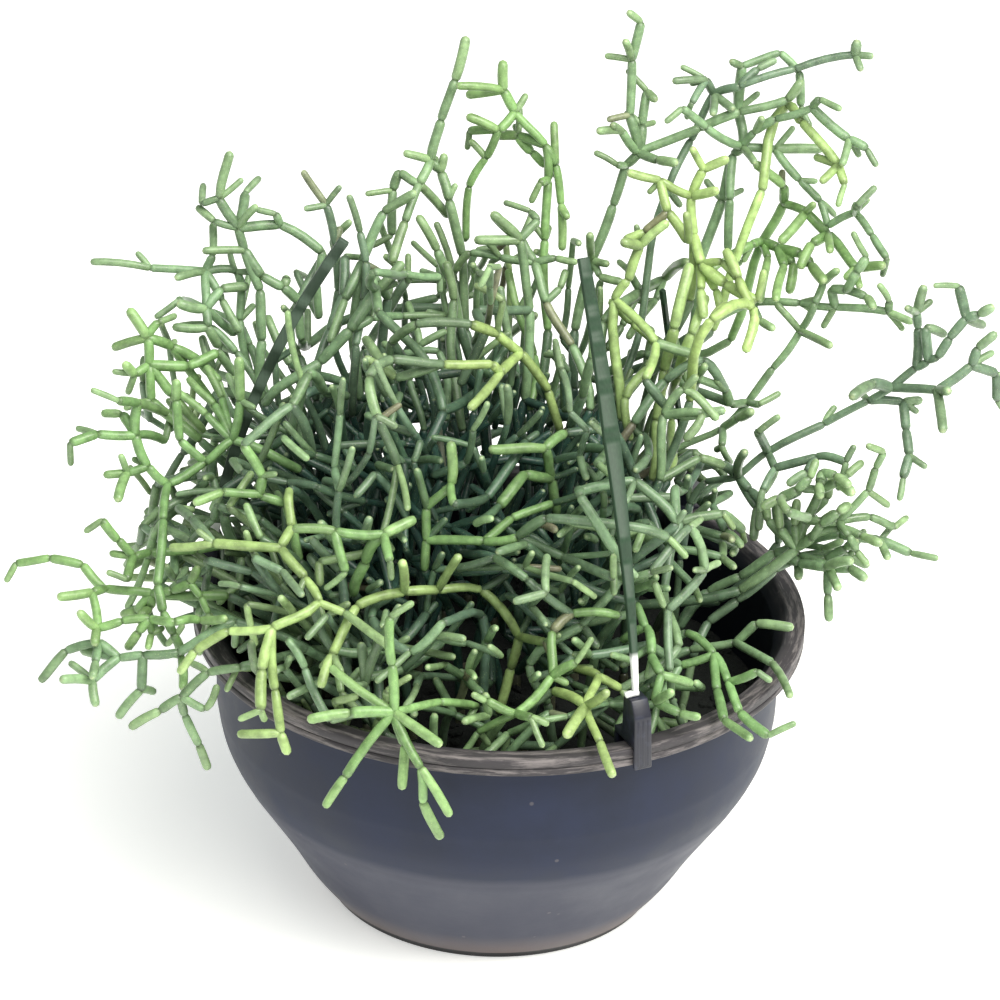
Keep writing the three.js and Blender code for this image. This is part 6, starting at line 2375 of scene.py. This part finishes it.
@dataclass
class SoilBed:
    """The potting mix: an uneven surface with crumbs of bark and grit on it."""

    soil: Soil
    rings: int = 26
    around: int = 110
    relief: float = 1.1
    relief_size: float = 7.0
    crumb_count: int = 420
    crumb_sizes: Pair = (0.9, 2.6)
    crumb_lengths: Pair = (0.7, 1.4)
    crumb_height: float = 0.6
    crumb_lift: float = 0.2
    crumb_turns: Pair = (3, 5)
    crumb_light: Pair = (0.6, 1.5)
    crumb_spread: float = 0.97
    fine_relief: Pair = (0.3, 0.5)
    pale_share: float = 0.06
    # Near-black with a green cast: dark peat, and partly painted shade for the soil under the stems
    bark: int = 0x101512
    pale: int = 0x6A6458
    seed: int = 31

    def _surface(self) -> BMesh:
        """The filled body with its uneven top.

        Returns:
            The mesh.
        """
        soil, pot = self.soil, self.soil.pot
        low = pot.floor + soil.gap
        side = [(reach - soil.gap, z) for reach, z in pot.inner_bowl[:-1]]
        top = [(soil.radius * share, float(soil.height(soil.radius * share)))
               for share in np.linspace(1, 0, self.rings)]
        bm = bmesh.new()
        spin_profile(bm, [(0.0, low), (pot.foot_radius - soil.gap - pot.wall, low), *side, *top],
                     self.around)
        fine_size, fine_share = self.fine_relief
        for vert in bm.verts:
            if vert.co.z / MM > soil.edge - 1:
                swell = noise.noise(vert.co / (self.relief_size * MM))
                fine = noise.noise(vert.co / (self.relief_size * MM * fine_size))
                vert.co.z += (swell + fine * fine_share) * self.relief * MM
        return bm

    def _crumb(self) -> Mesh:
        """The lump that is copied for every crumb.

        Returns:
            The mesh, one unit in radius.
        """
        bm = bmesh.new()
        bmesh.ops.create_icosphere(bm, subdivisions=1, radius=1.0)
        mesh = bpy.data.meshes.new("crumb")
        bm.to_mesh(mesh)
        bm.free()
        return mesh

    def build(self, finish: Material) -> list[Object]:
        """Makes the soil and its crumbs in the finish.

        Args:
            finish: The potting mix.

        Returns:
            The bed, in place of its solid, and the crumbs.
        """
        bed = make_object("soil_bed", self._surface(), finish)
        color = bed.data.attributes.new("crumb", "FLOAT_COLOR", "POINT")
        color.data.foreach_set("color", np.tile(linear(self.bark), len(bed.data.vertices)))
        stream = np.random.default_rng(self.seed)
        crumb = self._crumb()
        bm = bmesh.new()
        colors = []
        for _ in range(self.crumb_count):
            reach = self.soil.radius * math.sqrt(stream.uniform(0, self.crumb_spread))
            turn = stream.uniform(0, math.tau)
            size = stream.uniform(*self.crumb_sizes)
            place = Vector((reach * math.cos(turn), reach * math.sin(turn),
                            float(self.soil.height(reach)) + size * self.crumb_lift)) * MM
            known = len(bm.verts)
            bm.from_mesh(crumb)
            bm.verts.ensure_lookup_table()
            verts = bm.verts[known:]
            shape = Matrix.Diagonal((size * stream.uniform(*self.crumb_lengths), size,
                                     size * self.crumb_height, 1 / MM)) * MM
            spin = (Matrix.Rotation(turn * self.crumb_turns[0], 4, "Z")
                    @ Matrix.Rotation(turn * self.crumb_turns[1], 4, "X"))
            bmesh.ops.transform(bm, verts=verts, matrix=Matrix.Translation(place) @ spin @ shape)
            tone = self.pale if stream.uniform() < self.pale_share else self.bark
            shade = stream.uniform(*self.crumb_light)
            colors += [(*(c * shade for c in linear(tone)[:3]), 1.0)] * len(verts)
        crumbs = make_object("soil_crumbs", bm, finish, smooth=False)
        crumbs.data.attributes.new("crumb", "FLOAT_COLOR", "POINT").data.foreach_set(
            "color", np.array(colors).ravel())
        return [seat(bed, "potting_mix", "soil"), seat(crumbs, "potting_mix")]


@dataclass(frozen=True)
class PottingMix:
    """Damp peat and fine bark: very dark, crumbly and dull; part of its darkness, set by the crumb
    colours, is painted shade.
    """

    name: str = "peat_potting_mix"
    grain_mm: float = 1.6
    grain_light: Pair = (0.55, 1.5)
    grain_bump: Pair = (0.9, 0.9)
    roughness: float = 0.95

    def build(self) -> Material:
        """Makes the material, which reads the crumb attribute.

        Returns:
            The material.
        """
        material, tree = new_material(self.name)
        place = add_node(tree, "TexCoord").outputs["Object"]
        crumb = add_node(tree, "Attribute", attribute_name="crumb").outputs["Color"]
        grains = add_node(tree, "TexNoise", {**grain(place, self.grain_mm), "Detail": 6.0,
                                             "Roughness": 0.7}).outputs["Fac"]
        shade = add_node(tree, "MapRange", {"Value": grains, **span("From", NOISE_RANGE),
                                            **span("To", self.grain_light)}).outputs[0]
        color = add_node(tree, "Mix", {"Factor": 1.0, 6: crumb, 7: shade}, data_type="RGBA",
                         blend_type="MULTIPLY").outputs[2]
        bump = add_node(tree, "Bump", {**relief(self.grain_bump), "Height": grains}).outputs[0]
        shader = add_node(tree, "BsdfPrincipled", {"Base Color": color, "Roughness": self.roughness,
                                                   "Normal": bump})
        close_material(tree, shader)
        return material


@dataclass
class HangerPieces:
    """A rim clip with a ribbed leg, and the flat strap that stands on it."""

    pot: Pot
    hanger: Hanger
    edge: float = 0.45
    rib_edge: float = 0.22
    rib_sink: float = 0.1
    rib_margin: float = 1.6
    rib_count: int = 3
    rib_depth: float = 0.15
    rib_width: float = 0.85
    strap_fine_steps: int = 40
    strap_edge: float = 0.35
    sharp_angle: float = 0.9
    white_height: float = 12.5
    tab_reach: float = 4.4
    tab_height: float = 1.3
    # Painted light: the share of the pale foot colour laid over the rest of the strap
    painted_light: float = 0.0

    def _clip_outline(self) -> Line:
        """The clip's section: down the inner wall, over the rim, down outside it.

        Returns:
            Radii with heights, around the section.
        """
        pot, hanger = self.pot, self.hanger
        inner = pot.inner_radius - hanger.wall_gap
        outer = pot.rim_radius + hanger.rim_gap
        over = pot.height + hanger.seat_gap
        low = pot.height - hanger.clip_drop
        face, back = outer + hanger.clip_leg, inner - hanger.clip_leg
        front, tower = face - hanger.clip_lean, face - hanger.clip_tower
        return [(back, low), (inner, low), (inner, over), (outer, over), (outer, low), (face, low),
                (front, hanger.clip_front), (front - hanger.clip_slope, hanger.clip_top),
                (tower, hanger.clip_top), (tower, over + hanger.clip_leg), (back, over + hanger.clip_leg)]

    def _clip_mesh(self) -> BMesh:
        """The clip's body, extruded from its section and bevelled, with ribs on its outer leg.

        Returns:
            The mesh, made towards the right.
        """
        hanger = self.hanger
        half = hanger.clip_width / 2
        bm = bmesh.new()
        verts = [bm.verts.new((reach * MM, -half * MM, z * MM)) for reach, z in self._clip_outline()]
        section = bm.faces.new(verts)
        made = bmesh.ops.extrude_face_region(bm, geom=[section])["geom"]
        moved = [item for item in made if isinstance(item, BMVert)]
        bmesh.ops.translate(bm, verts=moved, vec=(0, hanger.clip_width * MM, 0))
        bmesh.ops.recalc_face_normals(bm, faces=bm.faces)
        round_edges(bm, list(bm.edges), self.edge)
        bmesh.ops.triangulate(bm, faces=[face for face in bm.faces if len(face.verts) > 4])
        face = self.pot.rim_radius + hanger.rim_gap + hanger.clip_leg
        low = self.pot.height - hanger.clip_drop
        tall = hanger.clip_front - low
        lean = Matrix.Rotation(-math.atan2(hanger.clip_lean, tall), 4, "Y")
        for i in range(self.rib_count):
            across = (i - (self.rib_count - 1) / 2) * self.rib_width * 2
            size = Matrix.Diagonal((self.rib_depth * 2 * MM, self.rib_width * MM,
                                    (tall - self.rib_margin) * MM, 1))
            middle = Vector((face - hanger.clip_lean / 2 - self.rib_sink, across, low + tall / 2))
            place = Matrix.Translation(middle * MM)
            rib = bmesh.ops.create_cube(bm, size=1.0, matrix=place @ lean @ size)["verts"]
            edges = {edge for vert in rib for edge in vert.link_edges}
            round_edges(bm, list(edges), self.rib_edge)
        return bm

    def _strap_mesh(self) -> BMesh:
        """The strap, swept up its line as a flat band that widens from its foot and its tab.

        Returns:
            The mesh, made towards the right.
        """
        hanger = self.hanger
        line = self.hanger.strap_line(self.pot, self.strap_fine_steps)
        bm = bmesh.new()
        foot = [bm.verts.new((along * 0.5, across * 0.5, 0.0))
                for along, across in ((-1, -1), (1, -1), (1, 1), (-1, 1))]
        ring = [bm.faces.new(foot)]
        rows = [foot]
        for _ in line[1:]:
            made = bmesh.ops.extrude_face_region(bm, geom=ring)["geom"]
            ring = [item for item in made if isinstance(item, BMFace)]
            rows.append(list(ring[0].verts))
        for i, ((reach, z), row) in enumerate(zip(line, rows)):
            before, after = line[max(i - 1, 0)], line[min(i + 1, len(line) - 1)]
            run = np.array(after) - np.array(before)
            slope = np.array([1.0, 0.0]) if i == 0 else np.array([run[1], -run[0]]) / np.linalg.norm(run)
            width = hanger.strap_width(z)
            for vert in row:
                along, across = vert.co.x * hanger.thick, vert.co.y * width
                vert.co = Vector((reach + slope[0] * along, across, z + slope[1] * along)) * MM
        bmesh.ops.recalc_face_normals(bm, faces=bm.faces)
        long_edges = [edge for edge in bm.edges if len(edge.link_faces) == 2
                      and edge.calc_face_angle(0.0) > self.sharp_angle]
        round_edges(bm, long_edges, self.strap_edge)
        reach, foot_height = line[0]
        size = Matrix.Diagonal((hanger.thick * MM, self.tab_reach * MM, self.tab_height * MM, 1))
        place = Vector((reach, hanger.strap_foot / 2 - self.tab_reach / 2,
                        foot_height + self.tab_height / 2))
        bmesh.ops.create_cube(bm, size=1.0, matrix=Matrix.Translation(place * MM) @ size)
        return bm

    def _turn(self, bm: BMesh) -> None:
        """Turns a mesh made towards the right to the hanger's bearing."""
        turn = Matrix.Rotation(math.radians(self.hanger.bearing - QUARTER_TURN), 4, "Z")
        bmesh.ops.transform(bm, verts=bm.verts, matrix=turn)

    def build(self, clip_finish: Material, strap_finish: Material) -> list[Object]:
        """Makes the clip and its strap in their finishes.

        Args:
            clip_finish: The clip's material.
            strap_finish: The strap's material.

        Returns:
            The clip and the strap, in place of their solids.
        """
        name = self.hanger.name
        clip = self._clip_mesh()
        self._turn(clip)
        strap = self._strap_mesh()
        self._turn(strap)
        foot_height = self.hanger.clip_top + self.hanger.seat_gap + self.white_height
        strap_object = make_object(f"flat_strap_{name}", strap, strap_finish)
        # 1 on the pale foot, and elsewhere the strap's painted light
        white = [1.0 if vert.co.z / MM < foot_height else self.painted_light
                 for vert in strap_object.data.vertices]
        strap_object.data.attributes.new("white_foot_and_painted_light", "FLOAT", "POINT").data.foreach_set("value", white)
        return [seat(make_object(f"rim_clip_{name}", clip, clip_finish), "clip_plastic", f"clip_{name}"),
                seat(strap_object, "strap_plastic", f"strap_{name}")]


@dataclass(frozen=True)
class BlackNylon:
    """Moulded black nylon: nearly black, a little glossy on its ribs and edges."""

    name: str = "moulded_black_nylon"
    base: int = 0x1B1C28
    dust: int = 0x363A4C
    roughness: float = 0.38
    dust_mm: float = 3.0
    dust_range: Pair = (0.5, 0.75)
    dust_share: float = 0.6
    dust_bump: Pair = (0.2, 0.1)

    def build(self) -> Material:
        """Makes the material.

        Returns:
            The material.
        """
        material, tree = new_material(self.name)
        place = add_node(tree, "TexCoord").outputs["Object"]
        dust = add_node(tree, "TexNoise", {**grain(place, self.dust_mm), "Detail": 5.0}).outputs["Fac"]
        share = add_node(tree, "MapRange", {"Value": dust, **span("From", self.dust_range),
                                            "To Max": self.dust_share}).outputs[0]
        color = add_node(tree, "Mix", {"Factor": share, 6: linear(self.base), 7: linear(self.dust)},
                         data_type="RGBA").outputs[2]
        bump = add_node(tree, "Bump", {**relief(self.dust_bump), "Height": dust}).outputs[0]
        shader = add_node(tree, "BsdfPrincipled", {"Base Color": color, "Roughness": self.roughness,
                                                   "Normal": bump})
        close_material(tree, shader)
        return material


@dataclass(frozen=True)
class FlexibleVinyl:
    """Extruded flexible PVC strap: grey-green, faded, with a pale stressed foot, and painted light that
    lifts a strap towards that pale colour.
    """

    name: str = "extruded_flexible_pvc"
    base: int = 0x2A3E2E
    faded: int = 0x304634
    # The pale foot's colour, which the painted light on a strap also blends towards
    stressed: int = 0xF2F4F2
    roughness: float = 0.45
    shine: float = 0.25
    streak_mm: float = 0.6
    streak_length: float = 30.0
    streak_range: Pair = (0.4, 0.7)
    streak_bump: Pair = (0.2, 0.08)

    def build(self) -> Material:
        """Makes the material, which reads the strap's whiteness attribute.

        Returns:
            The material.
        """
        material, tree = new_material(self.name)
        place = add_node(tree, "TexCoord").outputs["Object"]
        drawn = add_node(tree, "Mapping",
                         {"Vector": place, "Scale": (1.0, 1.0, 1 / self.streak_length)}).outputs[0]
        streaks = add_node(tree, "TexNoise",
                           {**grain(drawn, self.streak_mm), "Detail": 4.0}).outputs["Fac"]
        share = add_node(tree, "MapRange",
                         {"Value": streaks, **span("From", self.streak_range)}).outputs[0]
        color = add_node(tree, "Mix", {"Factor": share, 6: linear(self.base), 7: linear(self.faded)},
                         data_type="RGBA").outputs[2]
        # The pale foot, and the painted light on the rest of a strap
        white = add_node(tree, "Attribute", attribute_name="white_foot_and_painted_light").outputs["Fac"]
        color = add_node(tree, "Mix", {"Factor": white, 6: color, 7: linear(self.stressed)},
                         data_type="RGBA").outputs[2]
        bump = add_node(tree, "Bump", {**relief(self.streak_bump), "Height": streaks}).outputs[0]
        shader = add_node(tree, "BsdfPrincipled", {"Base Color": color, "Roughness": self.roughness,
                                                   "Normal": bump, "Specular IOR Level": self.shine})
        close_material(tree, shader)
        return material


@dataclass(frozen=True)
class MattePaint:
    """A matt white painted surface, lit a little from below so that its shadow stays soft."""

    name: str = "matte_white_paint"
    base: int = 0xF4F4F2
    roughness: float = 0.9
    mottle_mm: float = 60.0
    mottle_least: float = 0.985
    glow: float = 0.5

    def build(self) -> Material:
        """Makes the material.

        Returns:
            The material.
        """
        material, tree = new_material(self.name)
        place = add_node(tree, "TexCoord").outputs["Object"]
        mottle = add_node(tree, "TexNoise", grain(place, self.mottle_mm)).outputs["Fac"]
        shade = add_node(tree, "MapRange",
                         {"Value": mottle, **span("To", (self.mottle_least, 1.0))}).outputs[0]
        color = add_node(tree, "Mix", {"Factor": 1.0, 6: linear(self.base), 7: shade}, data_type="RGBA",
                         blend_type="MULTIPLY").outputs[2]
        shader = add_node(tree, "BsdfPrincipled", {"Base Color": color, "Roughness": self.roughness,
                                                   "Emission Color": linear(self.base),
                                                   "Emission Strength": self.glow})
        close_material(tree, shader)
        return material


@dataclass
class Studio:
    """A white floor under a broad soft top light, with a weaker key high on the right."""

    floor_size: float = 12.0
    world: float = 0.38
    key_power: float = 26.0
    key_size: float = 0.8
    key_place: tuple[float, float, float] = (1.0, -0.6, 1.4)
    top_power: float = 30.0
    top_size: float = 1.3
    top_place: tuple[float, float, float] = (0.25, -0.75, 1.5)
    aim_height: float = 0.1
    warm: tuple[float, float, float] = (1.0, 0.98, 0.92)
    cool: tuple[float, float, float, float] = (0.92, 1.0, 1.0, 1.0)

    def _lamp(self, name: str, place: tuple[float, float, float], size: float, power: float) -> None:
        """Adds a square soft light aimed at the plant.

        Args:
            name: Its name.
            place: Its place, in metres.
            size: Its side, in metres.
            power: Its power, in watts.
        """
        data = bpy.data.lights.new(name, "AREA")
        data.size = size
        data.energy = power
        data.color = self.warm
        lamp = bpy.data.objects.new(name, data)
        aim = Vector((0, 0, self.aim_height)) - Vector(place)
        lamp.matrix_world = Matrix.Translation(place) @ aim.to_track_quat("-Z", "Y").to_matrix().to_4x4()
        bpy.context.scene.collection.objects.link(lamp)

    def build(self) -> None:
        """Adds the floor, the lights and the pale surroundings."""
        bm = bmesh.new()
        bmesh.ops.create_grid(bm, x_segments=1, y_segments=1, size=self.floor_size / 2)
        make_object("floor", bm, MattePaint().build(), smooth=False)
        self._lamp("key_light", self.key_place, self.key_size, self.key_power)
        self._lamp("top_light", self.top_place, self.top_size, self.top_power)
        world = bpy.data.worlds.new("pale_room")
        world.use_nodes = True
        background = world.node_tree.nodes["Background"]
        background.inputs["Color"].default_value = self.cool
        background.inputs["Strength"].default_value = self.world
        bpy.context.scene.world = world
        bpy.context.scene.view_settings.view_transform = "Standard"


HANGERS = [
    Hanger("front", bearing=27, width=5.4, tip=3.6, thick=2.0, bend=(85.8, 172), end=(47.5, 246)),
    Hanger("back", bearing=139, width=1.8, tip=1.8, thick=1.8, bend=(85.6, 149.2), end=(76, 190)),
    Hanger("left", bearing=267, width=2.2, tip=2.2, thick=3.5, bend=(86.1, 175.2), end=(53, 228.5)),
]
# Painted light: how far a strap's colour is lifted towards the pale foot colour, to brighten a strap
# whose broad face is turned away from the lights
STRAP_PAINTED_LIGHT = {"left": 0.028}
# The fine branches of the crown, and the twigs that end the outermost stems
CROWN = Heap(centre=(-25.0, 15.0, 150.0), radii=(98.0, 70.0, 95.0), core=0.3, core_crowd=9.0,
             edge_crowd=5.0, lowest_start=120.0, budget=4300, joints=(3, 6), lengths=(13.0, 24.0),
             keep=0.6, outward=0.2, rise=0.9, droop_reach=200.0, spread=0.3, forks=(0.6, 0.2),
             thin_share=0.85)
OUTSIDE = Heap(centre=(0.0, 0.0, 160.0), radii=(172.0, 125.0, 150.0), lowest_start=100.0,
               clear=0.5, twig_lengths=(5.0, 10.0), forks=(0.4, 0.12))


def main() -> None:
    """Builds the whole scene and reports each piece."""
    logging.basicConfig(level=logging.INFO, format="%(name)s: %(message)s")
    view = PhotoView()
    view.make_camera()
    pot = Pot()
    soil = Soil(pot)
    plant = Plant(view, pot, soil, HANGERS)
    plant.lay_traced()
    plant.lay_fillers()
    plant.grow_shoots()
    plant.lay_details()
    plant.fill(Heap())
    plant.fill(CROWN)
    plant.add_outer_twigs(OUTSIDE)
    LOG.info("the layout has %d segments", plant.clutter.size)
    PotShell(pot).build(MouldedPolypropylene().build())
    SoilBed(soil).build(PottingMix().build())
    nylon, vinyl = BlackNylon().build(), FlexibleVinyl().build()
    for hanger in HANGERS:
        HangerPieces(pot, hanger, painted_light=STRAP_PAINTED_LIGHT.get(hanger.name, 0.0)).build(nylon, vinyl)
    skins = {tint: StemSkin(f"stem_skin_{tint.value}").build() for tint in Tint}
    maker = StemMaker(StemShape(), StemColors(), SEED)
    for spray in plant.sprays:
        seat(maker.make(spray, skins[spray.tint]), spray.tint.slot, spray.node)
    Studio().build()


if __name__ == "__main__":
    main()
